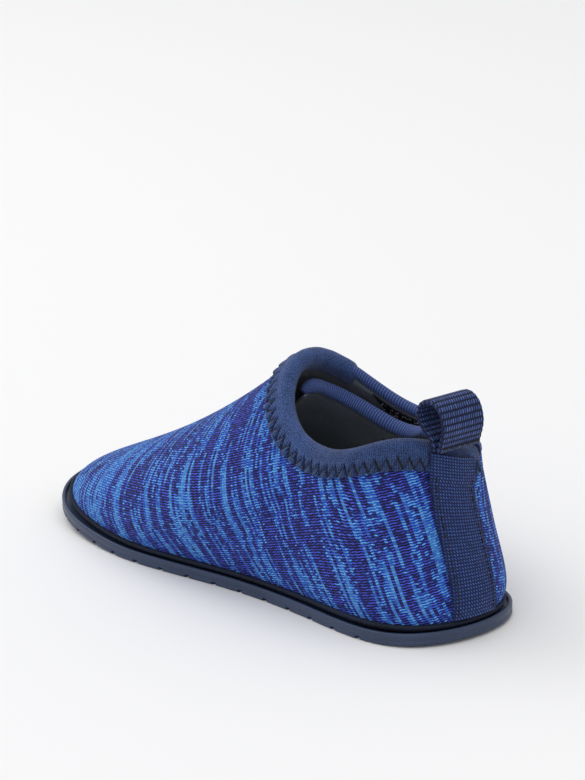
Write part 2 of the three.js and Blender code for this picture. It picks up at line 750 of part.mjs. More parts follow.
// A row of thread all round a closure tape, a little inside its edge.
function closureStitch(topDrop, margin, depth, facing) {
  const path = [];
  const run = (u0, w0, u1, w1, count) => {
    for (let k = 0; k < count; k += 1) {
      const share = k / count;
      const [t, v] = flapRegion(lerp(u0, u1, share), lerp(w0, w1, share), topDrop, CLOSURE_LOW, margin);
      const f = onSurface(t, v, -depth(t, v));
      f.normal.multiplyScalar(facing);
      path.push(f);
    }
  };
  run(0, 0, 1, 0, 10);
  run(1, 0, 1, 1, 6);
  run(1, 1, 0, 1, 10);
  run(0, 1, 0, 0, 6);
  return thread(path, 0.5, 0.3, true);
}

// The overlock that joins the upper's lower edge to the insole board.
function strobelStitch() {
  const steps = 64;
  const sections = [];
  for (let k = 0; k < steps; k += 1) {
    const t = (2 * PI * k) / steps;
    const low = BOARD_BOTTOM + BOARD_THICKNESS + GAP;
    const at = (inset, h) => plate(BOARD_INSET + inset, low + h)(t);
    const wave = k % 2 ? 0.3 : 0;
    const near = GAP + wave;
    const far = near + 0.8;
    sections.push([at(near, 0), at(near, STROBEL_HEIGHT), at(far, STROBEL_HEIGHT), at(far, 0)]);
  }
  return sweep(sections, true);
}

const HOOK_DEPTH = LAMINATE + 1.3 * GAP;
const LOOP_DEPTH = TUCK - 1.3 * GAP - LOOP_THICKNESS;
const HOOK_STITCH_MARGIN = HOOK_MARGIN + CLOSURE_STITCH_INSET;
const LOOP_STITCH_MARGIN = LOOP_MARGIN + CLOSURE_STITCH_INSET;
const outsideFlap = () => -GAP;
const insideQuarter = (t, v) => quarterSink(t, v) + LAMINATE + 4 * GAP;

add('outsole', await outsole(), NAVY_RUBBER, 0.45);
add('rand_tape', rand(), RAND_NAVY);
add('insole_board', insole(BOARD_INSET, BOARD_BOTTOM, BOARD_THICKNESS), BOARD_GREY);
add('insole_stitching', strobelStitch(), THREAD_BLACK);
add('footbed_foam', insole(FOOTBED_INSET, FOAM_BOTTOM, FOAM_THICKNESS), FOAM_GREY);
const coverBottom = FOAM_BOTTOM + FOAM_THICKNESS + GAP;
add('footbed_cover', insole(FOOTBED_INSET, coverBottom, COVER_THICKNESS), FOOTBED_GREY);
const layerColors = { face: KNIT_BLUE, core: FOAM_BLACK, lining: LINING_GREY };
for (const [layer, color] of Object.entries(layerColors)) {
  add(`vamp_${layer}`, panel(layer, 46, PANEL_ROWS, vampRegion), color);
  add(`quarter_${layer}`, panel(layer, 20, PANEL_ROWS, quarterRegion, quarterSink), color);
  add(`flap_${layer}`, panel(layer, 10, 6, flapRegion), color);
}
add('collar_binding', collarBinding(), NAVY_FABRIC);
add('collar_stitching', collarStitching(), THREAD_BLACK);
add('flap_edge_binding', flapEdgeBinding(), NAVY_FABRIC);
add('quarter_edge_binding', quarterEdgeBinding(), NAVY_FABRIC);
add('hook_tape', closureTape(HOOK_DEPTH, HOOK_THICKNESS, EDGE_DROP + GAP, HOOK_MARGIN), TAPE_BLACK);
add('loop_tape', closureTape(LOOP_DEPTH, LOOP_THICKNESS, LOOP_TOP_DROP, LOOP_MARGIN), TAPE_BLACK);
const hookStitch = closureStitch(BINDING_DROP, HOOK_STITCH_MARGIN, outsideFlap, 1);
const loopStitchDrop = LOOP_TOP_DROP + CLOSURE_STITCH_INSET;
const loopStitch = closureStitch(loopStitchDrop, LOOP_STITCH_MARGIN, insideQuarter, -1);
add('hook_tape_stitch', hookStitch, THREAD_BLACK);
add('loop_tape_stitch', loopStitch, THREAD_BLACK);
add('heel_tape', heelTape(), NAVY_FABRIC);
add('heel_tape_stitch_medial', heelTapeStitch(1), THREAD_BLACK);
add('heel_tape_stitch_lateral', heelTapeStitch(-1), THREAD_BLACK);
add('heel_seam_stitch', heelSeamStitch(), THREAD_BLACK);
add('pull_loop', pullLoop(), NAVY_FABRIC);
add('pull_loop_tack', pullLoopTack(), THREAD_BLACK);

export default shoe;
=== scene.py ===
"""A toddler's slip-on water shoe for the right foot, dressed over its solid model.

Metres in the scene, millimetres in the classes. +X is the toe, +Y the big-toe side, +Z up.
Round the shoe t = 0 is the toe and pi the heel; up the upper v = 0 is the sole and v = 1 the collar.
"""

import logging
import math
from dataclasses import dataclass, field
from enum import Enum
from typing import Callable

import bpy
import numpy as np
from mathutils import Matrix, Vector


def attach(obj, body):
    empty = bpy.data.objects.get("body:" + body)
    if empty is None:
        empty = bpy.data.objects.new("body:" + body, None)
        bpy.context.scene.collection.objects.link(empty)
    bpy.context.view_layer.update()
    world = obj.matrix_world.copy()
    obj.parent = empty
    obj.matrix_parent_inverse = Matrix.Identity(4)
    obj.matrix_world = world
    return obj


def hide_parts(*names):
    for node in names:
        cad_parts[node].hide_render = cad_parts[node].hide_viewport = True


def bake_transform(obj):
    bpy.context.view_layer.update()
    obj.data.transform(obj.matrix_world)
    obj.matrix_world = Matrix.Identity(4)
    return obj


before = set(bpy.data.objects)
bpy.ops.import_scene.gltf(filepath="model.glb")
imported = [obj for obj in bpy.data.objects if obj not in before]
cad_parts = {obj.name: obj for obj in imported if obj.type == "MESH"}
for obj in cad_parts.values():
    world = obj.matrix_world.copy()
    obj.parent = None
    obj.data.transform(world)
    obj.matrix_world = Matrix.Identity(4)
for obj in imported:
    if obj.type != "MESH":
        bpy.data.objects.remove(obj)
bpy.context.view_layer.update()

MM = 0.001
PI = math.pi
Array = np.ndarray
log = logging.getLogger("water_shoe")


class Body(Enum):
    """The moving bodies of the shoe."""

    SHOE = "shoe"
    FLAP = "flap"
    PULL = "pull"


class Held(Enum):
    """How a sheet of cloth is held in its place."""

    STRETCHED = "stretched"
    LAID = "laid"
    FOLDED = "folded"


def linear(code: str) -> tuple[float, float, float, float]:
    """Turns an sRGB hex colour to the linear colour that shaders use.

    Args:
        code: Six hex digits after a hash sign.

    Returns:
        Red, green, blue and an alpha of one.
    """
    parts = [int(code[i:i + 2], 16) / 255 for i in (1, 3, 5)]
    r, g, b = (c / 12.92 if c <= 0.04045 else ((c + 0.055) / 1.055) ** 2.4 for c in parts)
    return (r, g, b, 1.0)


def add(tree: bpy.types.NodeTree, kind: str, links: dict | None = None,
        **settings: object) -> bpy.types.Node:
    """Adds one node with its settings, input values and links.

    Args:
        tree: The node tree to add to.
        kind: The node's type name.
        links: Input name or number to a value, a socket, or a node whose first output is used.
        settings: Attributes of the node itself.

    Returns:
        The new node.
    """
    made = tree.nodes.new(kind)
    for name, value in settings.items():
        setattr(made, name, value)
    for name, value in (links or {}).items():
        if isinstance(value, bpy.types.Node):
            value = value.outputs[0]
        if isinstance(value, bpy.types.NodeSocket):
            tree.links.new(value, made.inputs[name])
        else:
            made.inputs[name].default_value = value
    return made


GLOSS = {
    "rough": "Roughness", "specular": "Specular IOR Level", "sheen": "Sheen Weight",
    "sheen_rough": "Sheen Roughness", "tint": "Sheen Tint",
}
MATH = "ShaderNodeMath"
MIX = "ShaderNodeMix"
NOISE = "ShaderNodeTexNoise"
RANGE = "ShaderNodeMapRange"
JOIN = "ShaderNodeCombineXYZ"
A_COLOUR, B_COLOUR = 6, 7  # the colour inputs of a Mix node
MIXED = 2  # its colour output
THREAD_END = 0.35  # the share of a thread's width that is left at its ends


def smooth(low: float, high: float, x: Array) -> Array:
    """A smooth step from 0 at low to 1 at high."""
    q = np.clip((np.asarray(x, float) - low) / (high - low), 0, 1)
    return q * q * (3 - 2 * q)


def lerp(a: Array, b: Array, q: Array) -> Array:
    """The value q of the way from a to b."""
    return a + (b - a) * q


def length_along(line: Array) -> Array:
    """The distance from the start of a line of points to each of them."""
    return np.concatenate([[0], np.cumsum(np.linalg.norm(np.diff(line, axis=0), axis=1))])


def unselect() -> None:
    """Leaves nothing selected."""
    bpy.ops.object.select_all(action="DESELECT")


def piece(name: str, points: Array, faces: list, uv: Array | None = None) -> bpy.types.Object:
    """Makes a smooth mesh piece whose place is in its mesh.

    Args:
        name: The piece's name.
        points: Corner positions in millimetres, any shape ending in 3.
        faces: Corner numbers of each face.
        uv: A millimetre position on the cloth for each corner.

    Returns:
        The new object, turned right side out if its volume came out negative.
    """
    flat = np.asarray(points, float).reshape(-1, 3)
    mesh = bpy.data.meshes.new(name)
    mesh.from_pydata((flat * MM).tolist(), [], faces)
    mesh.update()
    mesh.calc_loop_triangles()
    corners = np.empty(len(mesh.loop_triangles) * 3, np.int32)
    mesh.loop_triangles.foreach_get("vertices", corners)
    a, b, c = (flat[corners[k::3]] for k in range(3))
    if float((a * np.cross(b, c)).sum()) < 0:
        mesh.flip_normals()
    if uv is not None:
        layer = mesh.uv_layers.new(name="cloth")
        index = np.empty(len(mesh.loops), np.int32)
        mesh.loops.foreach_get("vertex_index", index)
        layer.data.foreach_set("uv", np.asarray(uv, float).reshape(-1, 2)[index].ravel())
    mesh.polygons.foreach_set("use_smooth", [True] * len(mesh.polygons))
    made = bpy.data.objects.new(name, mesh)
    bpy.context.scene.collection.objects.link(made)
    return made


def shell(name: str, outer: Array, inner: Array, uv: Array) -> bpy.types.Object:
    """A curved sheet with thickness, from two grids of points of the same size.

    Args:
        name: The piece's name.
        outer: Rows by columns of outer points.
        inner: The same for the inner side.
        uv: Rows by columns of cloth positions.

    Returns:
        The closed sheet.
    """
    rows, cols = outer.shape[:2]
    n = rows * cols
    grid = np.arange(n).reshape(rows, cols)
    a, b, c, d = grid[:-1, :-1], grid[:-1, 1:], grid[1:, 1:], grid[1:, :-1]
    top = np.stack([a, b, c, d], -1).reshape(-1, 4)
    under = np.stack([a, d, c, b], -1).reshape(-1, 4) + n
    loop = np.concatenate([grid[0, :], grid[1:, -1], grid[-1, -2::-1], grid[-2:0:-1, 0]])
    after = np.roll(loop, -1)
    rim = np.stack([loop, loop + n, after + n, after], -1)
    faces = np.concatenate([top, under, rim]).tolist()
    points = np.concatenate([outer.reshape(-1, 3), inner.reshape(-1, 3)])
    return piece(name, points, faces, np.concatenate([uv.reshape(-1, 2)] * 2))


def swept(name: str, sections: Array, closed: bool = False, uv: Array | None = None) -> bpy.types.Object:
    """A bar swept through sections, capped at its ends unless it closes on itself.

    Args:
        name: The piece's name.
        sections: Steps by section corners by 3.
        closed: True where the last step joins the first.
        uv: Steps by section corners by 2.

    Returns:
        The new object.
    """
    points, faces = swept_parts([(sections, closed)])
    return piece(name, points, faces, uv)


def swept_parts(parts: list[tuple[Array, bool]]) -> tuple[Array, list]:
    """Corners and faces of several swept bars in one mesh.

    Args:
        parts: Sections, and whether each bar closes on itself.

    Returns:
        All corners, and the faces over them.
    """
    points: list[Array] = []
    faces: list = []
    base = 0
    for sections, closed in parts:
        count, n = sections.shape[:2]
        k = np.arange(count if closed else count - 1)[:, None]
        i = np.arange(n)[None, :]
        a = k * n + i
        b = k * n + (i + 1) % n
        c = ((k + 1) % count) * n + (i + 1) % n
        d = ((k + 1) % count) * n + i
        faces += (np.stack([a, b, c, d], -1).reshape(-1, 4) + base).tolist()
        if not closed:
            faces.append([base + j for j in reversed(range(n))])
            faces.append([base + (count - 1) * n + j for j in range(n)])
        points.append(sections.reshape(-1, 3))
        base += count * n
    return np.concatenate(points), faces


def threads(name: str, runs: list[tuple[Array, Array]], width: float, height: float,
            closed: bool = False, corners: int = 6) -> bpy.types.Object:
    """Round threads laid along runs of surface points.

    Args:
        name: The piece's name.
        runs: Points and surface normals of each thread.
        width: Thread width in millimetres.
        height: How far it stands off the surface.
        closed: True where each thread closes on itself.
        corners: Corners of the thread's round section.

    Returns:
        One object with every thread.
    """
    parts = []
    angle = np.linspace(0, 2 * PI, corners, endpoint=False)
    for points, normals in runs:
        if closed:
            ahead = np.roll(points, -1, 0) - np.roll(points, 1, 0)
        else:
            ahead = np.gradient(points, axis=0)
        side = np.cross(ahead, normals)
        side /= np.maximum(np.linalg.norm(side, axis=1, keepdims=True), 1e-9)
        size = np.ones(len(points))
        if not closed:
            size[[0, -1]] = THREAD_END
        across = np.cos(angle)[None, :, None] * side[:, None, :] * width / 2
        above = (np.sin(angle)[None, :, None] + 1) * normals[:, None, :] * height / 2
        parts.append((points[:, None, :] + (across + above) * size[:, None, None], closed))
    points, faces = swept_parts(parts)
    return piece(name, points, faces)


@dataclass
class Last:
    """The shape the upper is pulled over: sole outline, collar line and the surface between."""

    length: float = 156.0
    ball_width: float = 69.0
    heel_width: float = 49.4
    arch_depth: float = 1.6
    toe_inflare: float = 5.0
    toe_spring: float = 4.6
    heel_rise: float = 0.9
    heel_squareness: float = 8.4
    toe_squareness: float = 3.6
    tray_floor: float = 2.3
    feather_inset: float = 3.5
    collar_length: float = 51.4
    collar_width: float = 43.2
    collar_setback: float = 10.5
    collar_squareness: float = 2.7
    collar_height: float = 51.7
    collar_cos: tuple[float, ...] = (5.0, 4.4, 2.0, 0.1)
    collar_sin: tuple[float, ...] = (2.1, 0.4, 2.0, -0.4)
    foot_bulge: tuple[float, float, float] = (6.4, 6.6, 9.9)
    foot_rise: tuple[float, float, float] = (8.8, 7.5, 7.5)
    ankle_bulge: tuple[float, float, float] = (49.6, 7.0, -1.0)
    ankle_drop: tuple[float, float, float] = (39.6, 21.6, 21.6)
    spring_start: float = 0.25  # where the sole lifts, in half lengths from the middle
    heel_start: float = 0.7
    waist_place: float = -0.12
    waist_spread: float = 0.28
    tilt: float = 0.21  # how far the knit's wales lean towards the toe as they rise
    tilt_heel: float = 0.5
    draw: float = 0.4  # how much of the wall's turn inwards draws the knit forwards
    steps: int = 1440  # of the table of distances, round the shoe
    levels: int = 100  # of the same table, down the upper
    columns: int = 240  # of the knit's grid, along the shoe
    rows: int = 60  # of the knit's grid, up a cross-section
    down: Array = field(init=False, repr=False)

    def __post_init__(self) -> None:
        """Measures the distance down from the collar all round the shoe."""
        self.half = self.length / 2
        self.collar_x = self.collar_setback + self.collar_length / 2 - self.half
        t = np.linspace(-PI, PI, self.steps + 1)[:, None]
        v = np.linspace(1, 0, self.levels + 1)[None, :]
        line = self.surface(t, v)
        gaps = np.linalg.norm(np.diff(line, axis=1), axis=-1)
        self.down = np.concatenate([np.zeros((len(t), 1)), np.cumsum(gaps, 1)], 1)
        self.measure_cloth()

    def underside(self, x: Array) -> Array:
        """Height of the outsole's underside above the ground."""
        q = x / self.half
        toe = np.maximum((q - self.spring_start) / (1 - self.spring_start), 0)
        heel = np.maximum((-q - self.heel_start) / (1 - self.heel_start), 0)
        return self.toe_spring * toe ** 2 + self.heel_rise * heel ** 2

    def outline(self, t: Array, inset: Array = 0.0) -> Array:
        """The outsole's plan outline drawn in by an inset, at height 0."""
        c, s = np.cos(t), np.sin(t)
        x = (self.half - inset) * c
        q = x / self.half
        half_width = lerp(self.heel_width, self.ball_width, smooth(-0.55, 0.4, q)) / 2 - inset
        square = lerp(self.heel_squareness, self.toe_squareness, smooth(-0.6, 0.6, q))
        waist = np.exp(-(((q - self.waist_place) / self.waist_spread) ** 2))
        waist = np.where(s > 0, 1, 0.25) * self.arch_depth * waist
        y = half_width * np.sign(s) * np.sqrt(np.maximum(1 - np.abs(c) ** square, 0))
        y = y - waist * np.sign(s) * np.minimum(1, np.abs(s) * 1.5)
        return np.stack([x, y + self.toe_inflare * smooth(0.1, 1, q), np.zeros_like(x)], -1)

    def plate(self, t: Array, inset: Array, height: Array, share: Array = 1.0) -> Array:
        """A point inside the outline, at a height over the underside."""
        p = self.outline(t, inset) * np.asarray(share, float)[..., None]
        p[..., 2] = self.underside(p[..., 0]) + height
        return p

    def feather(self, t: Array) -> Array:
        """The line where the upper meets the sole."""
        return self.plate(t, self.feather_inset, self.tray_floor + 0.4)

    def collar(self, t: Array) -> Array:
        """The ridge of the binding round the ankle opening."""
        c, s = np.cos(t), np.sin(t)
        x = self.collar_x + self.collar_length / 2 * c
        width = np.sqrt(np.maximum(1 - np.abs(c) ** self.collar_squareness, 0))
        y = self.collar_width / 2 * np.sign(s) * width
        z = np.full_like(x, self.collar_height)
        for k, a in enumerate(self.collar_cos):
            z = z + a * np.cos((k + 1) * t)
        for k, a in enumerate(self.collar_sin):
            z = z + a * np.sin((k + 1) * t)
        return np.stack([x, y, z], -1)

    def around(self, size: tuple[float, float, float], t: Array) -> Array:
        """Blends a size given at the toe, the sides and the heel."""
        toe = np.maximum(np.cos(t), 0) ** 1.2
        heel = np.maximum(-np.cos(t), 0) ** 2
        return size[0] * toe + size[2] * heel + size[1] * (1 - toe - heel)

    def surface(self, t: Array, v: Array) -> Array:
        """A point of the upper's outer surface."""
        t, v = np.broadcast_arrays(np.asarray(t, float), np.asarray(v, float))
        out = np.stack([0.9 * np.cos(t), np.sin(t), np.zeros_like(t)], -1)
        rise = np.array([0.0, 0.0, 1.0])
        foot, rim = self.feather(t), self.collar(t)
        low = foot + out * self.around(self.foot_bulge, t)[..., None]
        low = low + rise * self.around(self.foot_rise, t)[..., None]
        high = rim + out * self.around(self.ankle_bulge, t)[..., None]
        high = high - rise * self.around(self.ankle_drop, t)[..., None]
        w = v[..., None]
        u = 1 - w
        return u ** 3 * foot + 3 * u * u * w * low + 3 * u * w * w * high + w ** 3 * rim

    def normal(self, t: Array, v: Array) -> Array:
        """The outward normal of the upper's surface."""
        t, v = np.broadcast_arrays(np.asarray(t, float), np.asarray(v, float))
        step = 1e-3
        top = np.minimum(v, 1 - step)
        along = self.surface(t + step, v) - self.surface(t - step, v)
        up = self.surface(t, top + step) - self.surface(t, np.maximum(top - step, 0))
        n = np.cross(along, up)
        return n / np.linalg.norm(n, axis=-1, keepdims=True)

    def offset(self, t: Array, v: Array, n: Array) -> Array:
        """A surface point moved out along the normal."""
        return self.surface(t, v) + self.normal(t, v) * np.asarray(n, float)[..., None]

    def drop(self, t: Array, distance: Array) -> Array:
        """The v that lies a given distance down the surface from the collar line."""
        t, distance = np.broadcast_arrays(np.asarray(t, float), np.asarray(distance, float))
        place = ((t + PI) % (2 * PI)) / (2 * PI) * self.steps
        first = np.minimum(place.astype(int), self.steps - 1).ravel()
        share = (place.ravel() - first)[:, None]
        wanted = distance.ravel()[:, None]
        result = np.empty(len(first))
        batch = 20000  # places looked up at once, to spare memory
        for start in range(0, len(first), batch):
            part = slice(start, start + batch)
            table = lerp(self.down[first[part]], self.down[first[part] + 1], share[part])
            after = np.clip((table < wanted[part]).sum(1), 1, self.levels)
            row = np.arange(len(after))
            low, high = table[row, after - 1], table[row, after]
            level = after - 1 + (wanted[part, 0] - low) / np.maximum(high - low, 1e-9)
            result[part] = 1 - level / self.levels
        return np.clip(result, 0, 1).reshape(t.shape)

    def crossing(self, value: Callable[[Array], Array], target: Array, low: Array,
                 high: Array) -> Array:
        """Finds where a rising function of t crosses a target."""
        low, high = np.array(low, float), np.array(high, float)
        for _ in range(40):
            mid = (low + high) / 2
            below = value(mid) < target
            low, high = np.where(below, mid, low), np.where(below, high, mid)
        return (low + high) / 2

    def outer_at(self, x: Array, v: Array) -> Array:
        """The t on the outer side where the surface has a given x."""
        x, v = np.broadcast_arrays(np.asarray(x, float), np.asarray(v, float))
        zero = np.zeros_like(x)
        return self.crossing(lambda t: self.surface(t, v)[..., 0], x, zero - PI, zero)

    def collar_at(self, x: float) -> float:
        """The t on the outer side where the collar has a given x."""
        return float(self.outer_at(np.array(x), np.array(1.0)))

    def heel_drop(self, distance: float) -> float:
        """The v that lies a given distance below the collar at the middle of the heel."""
        return float(self.drop(np.array(PI), distance))

    def inner_at(self, x: Array, v: Array) -> Array:
        """The t on the big-toe side where the surface has a given x."""
        x, v = np.broadcast_arrays(np.asarray(x, float), np.asarray(v, float))
        zero = np.zeros_like(x)
        return self.crossing(lambda t: -self.surface(t, v)[..., 0], -x, zero, zero + PI)

    def heel_at(self, y: Array, v: Array) -> Array:
        """The t near the heel where the surface has a given y."""
        y, v = np.broadcast_arrays(np.asarray(y, float), np.asarray(v, float))
        zero = np.zeros_like(y)
        return self.crossing(lambda t: -self.surface(t, v)[..., 1], -y, zero + PI - 1.2, zero + PI + 1.2)

    def measure_cloth(self) -> None:
        """Measures the knit's own millimetre grid.

        The grid runs along the shoe, and up each cross-section from the sole to the ridge of
        the instep or to the collar. Its rows crowd towards the top, where a section turns flat.
        """
        self.ridge_v = np.linspace(1, 0, 2001)
        self.ridge_x = self.surface(np.zeros_like(self.ridge_v), self.ridge_v)[..., 0]
        x, q = np.meshgrid(np.linspace(-self.half, self.half, self.columns + 1),
                           np.linspace(0, 1, self.rows + 1), indexing="ij")
        v = self.reach(x) * (1 - (1 - q) ** 2)
        self.section: dict[int, Array] = {}
        for side, find in ((1, self.inner_at), (-1, self.outer_at)):
            line = self.surface(find(x, v), v)
            met = np.abs(line[..., 0] - x) < 0.05
            gap = np.linalg.norm(np.diff(line[..., 1:], axis=1), axis=-1) * (met[:, 1:] & met[:, :-1])
            run = np.concatenate([np.zeros((len(x), 1)), np.cumsum(gap, 1)], 1)
            self.section[side] = run
        t = np.linspace(0, PI, 361)
        line = self.surface(t, np.full_like(t, 0.35))
        dx, dy = np.abs(np.diff(line[:, 0])), np.diff(line[:, 1])
        turn = smooth(0.25, 0.85, -np.cos((t[1:] + t[:-1]) / 2))
        self.round_t = t
        self.round_run = np.concatenate([[0], np.cumsum(np.sqrt(dx ** 2 + turn * dy ** 2) - dx)])

    def reach(self, x: Array) -> Array:
        """The v at which a cross-section ends, on the ridge of the instep or at the collar."""
        return np.maximum(np.interp(x, self.ridge_x, self.ridge_v), 1e-4)

    def cloth(self, t: Array, v: Array) -> Array:
        """The millimetre position of a surface point on the knit before it was pulled over the last."""
        t, v = np.broadcast_arrays(np.asarray(t, float), np.asarray(v, float))
        p = self.surface(t, v)
        turned = (t + PI) % (2 * PI) - PI
        side = np.where(turned >= 0, 1, -1)
        short = 0.001  # keeps the last place inside the table
        gx = np.clip((p[..., 0] + self.half) / self.length * self.columns, 0, self.columns - short)
        share = 1 - np.sqrt(np.maximum(1 - v / self.reach(p[..., 0]), 0))
        gv = np.clip(self.rows * share, 0, self.rows - short)
        ix, iv = gx.astype(int), gv.astype(int)
        fx, fv = gx - ix, gv - iv
        up = np.zeros_like(gx)
        for sign, table in self.section.items():
            near = lerp(table[ix, iv], table[ix, iv + 1], fv)
            far = lerp(table[ix + 1, iv], table[ix + 1, iv + 1], fv)
            up = np.where(side == sign, lerp(near, far, fx), up)
        place = (turned + PI) / (2 * PI) * self.steps
        it = np.clip(place.astype(int), 0, self.steps - 1)
        iw = np.clip((1 - v) * self.levels, 0, self.levels - short)
        iwi = iw.astype(int)
        wall = self.down[it, -1] - lerp(self.down[it, iwi], self.down[it, iwi + 1], iw - iwi)
        heel = smooth(0.42, 0.82, -np.cos(t))
        run = p[..., 0] - np.interp(np.abs(turned), self.round_t, self.round_run)
        run = run - lerp(self.tilt, self.tilt_heel, smooth(5, -50, p[..., 0])) * p[..., 2]
        # between the heel and the ball the knit is drawn forwards where the wall turns in
        foot = self.feather(np.linspace(0, PI, 721))
        wide = np.interp(p[..., 0], foot[::-1, 0], np.abs(foot[::-1, 1]))
        crest = 8.0  # rounds off the middle of the instep
        stand = np.sqrt(p[..., 1] ** 2 + crest ** 2) - crest - wide
        stand = np.where(stand > 0, stand, 0.3 * stand)
        drawn = smooth(-78, -50, p[..., 0]) * smooth(45, -5, p[..., 0])
        run = run + self.draw * drawn * stand
        return np.stack([run, lerp(up, wall, heel)], -1)


def surface_shader(name: str) -> tuple[bpy.types.Material, bpy.types.Node]:
    """Starts a material.

    Args:
        name: The material's name.

    Returns:
        The material and its principled shader.
    """
    made = bpy.data.materials.new(name)
    made.use_nodes = True
    return made, made.node_tree.nodes["Principled BSDF"]


def cloth_grid(tree: bpy.types.NodeTree) -> tuple[bpy.types.Node, bpy.types.NodeSocket, bpy.types.NodeSocket]:
    """Reads a piece's millimetre grid: the place as a whole, then its two measures."""
    cloth = add(tree, "ShaderNodeUVMap", uv_map="cloth")
    parts = add(tree, "ShaderNodeSeparateXYZ", {0: cloth})
    return cloth, parts.outputs[0], parts.outputs[1]


def settle(tree: bpy.types.NodeTree, shader: bpy.types.Node, colour: bpy.types.Node, height: bpy.types.Node,
           depth: float, strength: float, **gloss: float) -> None:
    """Gives a shader its colour, its relief and its constants.

    Args:
        tree: The material's node tree.
        shader: The principled shader.
        colour: The Mix node whose colour it takes.
        height: The node whose value raises the surface.
        depth: How deep the relief is, in millimetres.
        strength: How strongly the relief shows.
        gloss: Constants for the inputs that GLOSS names.
    """
    tree.links.new(colour.outputs[MIXED], shader.inputs["Base Color"])
    for name, value in gloss.items():
        shader.inputs[GLOSS[name]].default_value = value
    relief = add(tree, "ShaderNodeBump", {"Height": height, "Strength": strength, "Distance": depth * MM})
    tree.links.new(relief.outputs[0], shader.inputs["Normal"])


@dataclass(frozen=True)
class KnitFinish:
    """Melange polyester jersey: navy-violet yarn with sky-blue runs that follow single wales."""

    wale: float = 0.95  # width of one leg of a stitch
    course: float = 0.68
    lean: float = 0.3  # how much the courses climb across each wale
    dark: str = "#050232"
    dash: str = "#5268ff"
    blue: str = "#0834b4"
    sky: str = "#74cdff"
    threshold: float = 0.53

    def make(self) -> bpy.types.Material:
        """Builds the knit from its own millimetre grid."""
        made, shader = surface_shader("melange_jersey_knit")
        tree = made.node_tree
        cloth, along, down = cloth_grid(tree)
        wander = add(tree, NOISE, {"Vector": cloth, "Scale": 0.05, "Detail": 0.0}, noise_dimensions="2D")
        wander = add(tree, MATH, {0: wander, 1: 0.8, 2: -0.4}, operation="MULTIPLY_ADD")
        across = add(tree, MATH, {0: along, 1: wander}, operation="ADD")
        leg = add(tree, MATH, {0: across, 1: self.wale}, operation="DIVIDE")
        number = add(tree, MATH, {0: leg}, operation="FLOOR")
        # each stitch is a slanted dash; neighbouring legs lean opposite ways by part of their slant
        zig = add(tree, MATH, {0: leg, 1: 1.0}, operation="PINGPONG")
        climb = add(tree, MATH, {0: leg, 1: self.lean}, operation="MULTIPLY")
        climb = add(tree, MATH, {0: zig, 1: 0.26, 2: climb}, operation="MULTIPLY_ADD")
        row = add(tree, MATH, {0: down, 1: 1 / self.course, 2: climb}, operation="MULTIPLY_ADD")
        dash = add(tree, MATH, {0: row, 1: 0.5}, operation="PINGPONG")
        dash = add(tree, RANGE, {"Value": dash, 1: 0.14, 2: 0.44}, interpolation_type="SMOOTHSTEP")
        # each leg darkens from its middle to 0.55 at its sides: painted shade in the crevices between the
        # legs
        edge = add(tree, MATH, {0: leg, 1: 0.5}, operation="PINGPONG")
        edge = add(tree, RANGE, {"Value": edge, 1: 0.0, 2: 0.2, 3: 0.55, 4: 1.0})
        stitch = add(tree, MATH, {0: dash, 1: edge}, operation="MULTIPLY")
        # one yarn's blue stretches run 5 to 30 mm up a wale and start anywhere
        at = add(tree, JOIN, {
            0: add(tree, MATH, {0: number, 1: 1.57}, operation="MULTIPLY"),
            1: add(tree, MATH, {0: down, 1: 0.05}, operation="MULTIPLY"),
        })
        runs = add(tree, NOISE, {"Vector": at, "Scale": 1.0, "Detail": 1.6, "Roughness": 0.6},
                   noise_dimensions="2D")
        patch_at = add(tree, "ShaderNodeMapping", {0: cloth, 3: (0.2, 0.03, 1.0)})
        patch = add(tree, NOISE, {"Vector": patch_at, "Scale": 1.0, "Detail": 1.0}, noise_dimensions="2D")
        runs = add(tree, MATH, {0: patch, 1: 0.4, 2: runs}, operation="MULTIPLY_ADD")
        flecks = add(tree, "ShaderNodeTexWhiteNoise", {
            "Vector": add(tree, JOIN, {0: number, 1: add(tree, MATH, {0: row}, operation="FLOOR")}),
        }, noise_dimensions="2D")
        runs = add(tree, MATH, {0: flecks, 1: 0.09, 2: runs}, operation="MULTIPLY_ADD")
        toe = add(tree, RANGE, {"Value": along, 1: 10.0, 2: 55.0, 3: 0.0, 4: 0.11})
        runs = add(tree, MATH, {0: runs, 1: toe}, operation="ADD")
        level = self.threshold + 0.24
        mask = add(tree, RANGE, {"Value": runs, 1: level - 0.02, 2: level + 0.03})
        glow = add(tree, RANGE, {"Value": flecks, 1: 0.1, 2: 0.85, 3: 0.25, 4: 1.0})
        lit = add(tree, MATH, {0: stitch, 1: glow}, operation="MULTIPLY")
        solid = add(tree, RANGE, {"Value": runs, 1: level + 0.07, 2: level + 0.2, 3: 0.0, 4: 0.3})
        bright = add(tree, MATH, {0: solid, 1: lit}, operation="MAXIMUM")
        base = add(tree, MIX, {0: lit, A_COLOUR: linear(self.dark), B_COLOUR: linear(self.dash)},
                   data_type="RGBA")
        blue = add(tree, MIX, {0: bright, A_COLOUR: linear(self.blue), B_COLOUR: linear(self.sky)},
                   data_type="RGBA")
        both = add(tree, MIX, {0: mask, A_COLOUR: base.outputs[MIXED], B_COLOUR: blue.outputs[MIXED]},
                   data_type="RGBA")
        settle(tree, shader, both, stitch, 0.3, 1.0, rough=0.72, specular=0.3, sheen=0.06, sheen_rough=0.3,
               tint=linear("#5f98ff"))
        return made


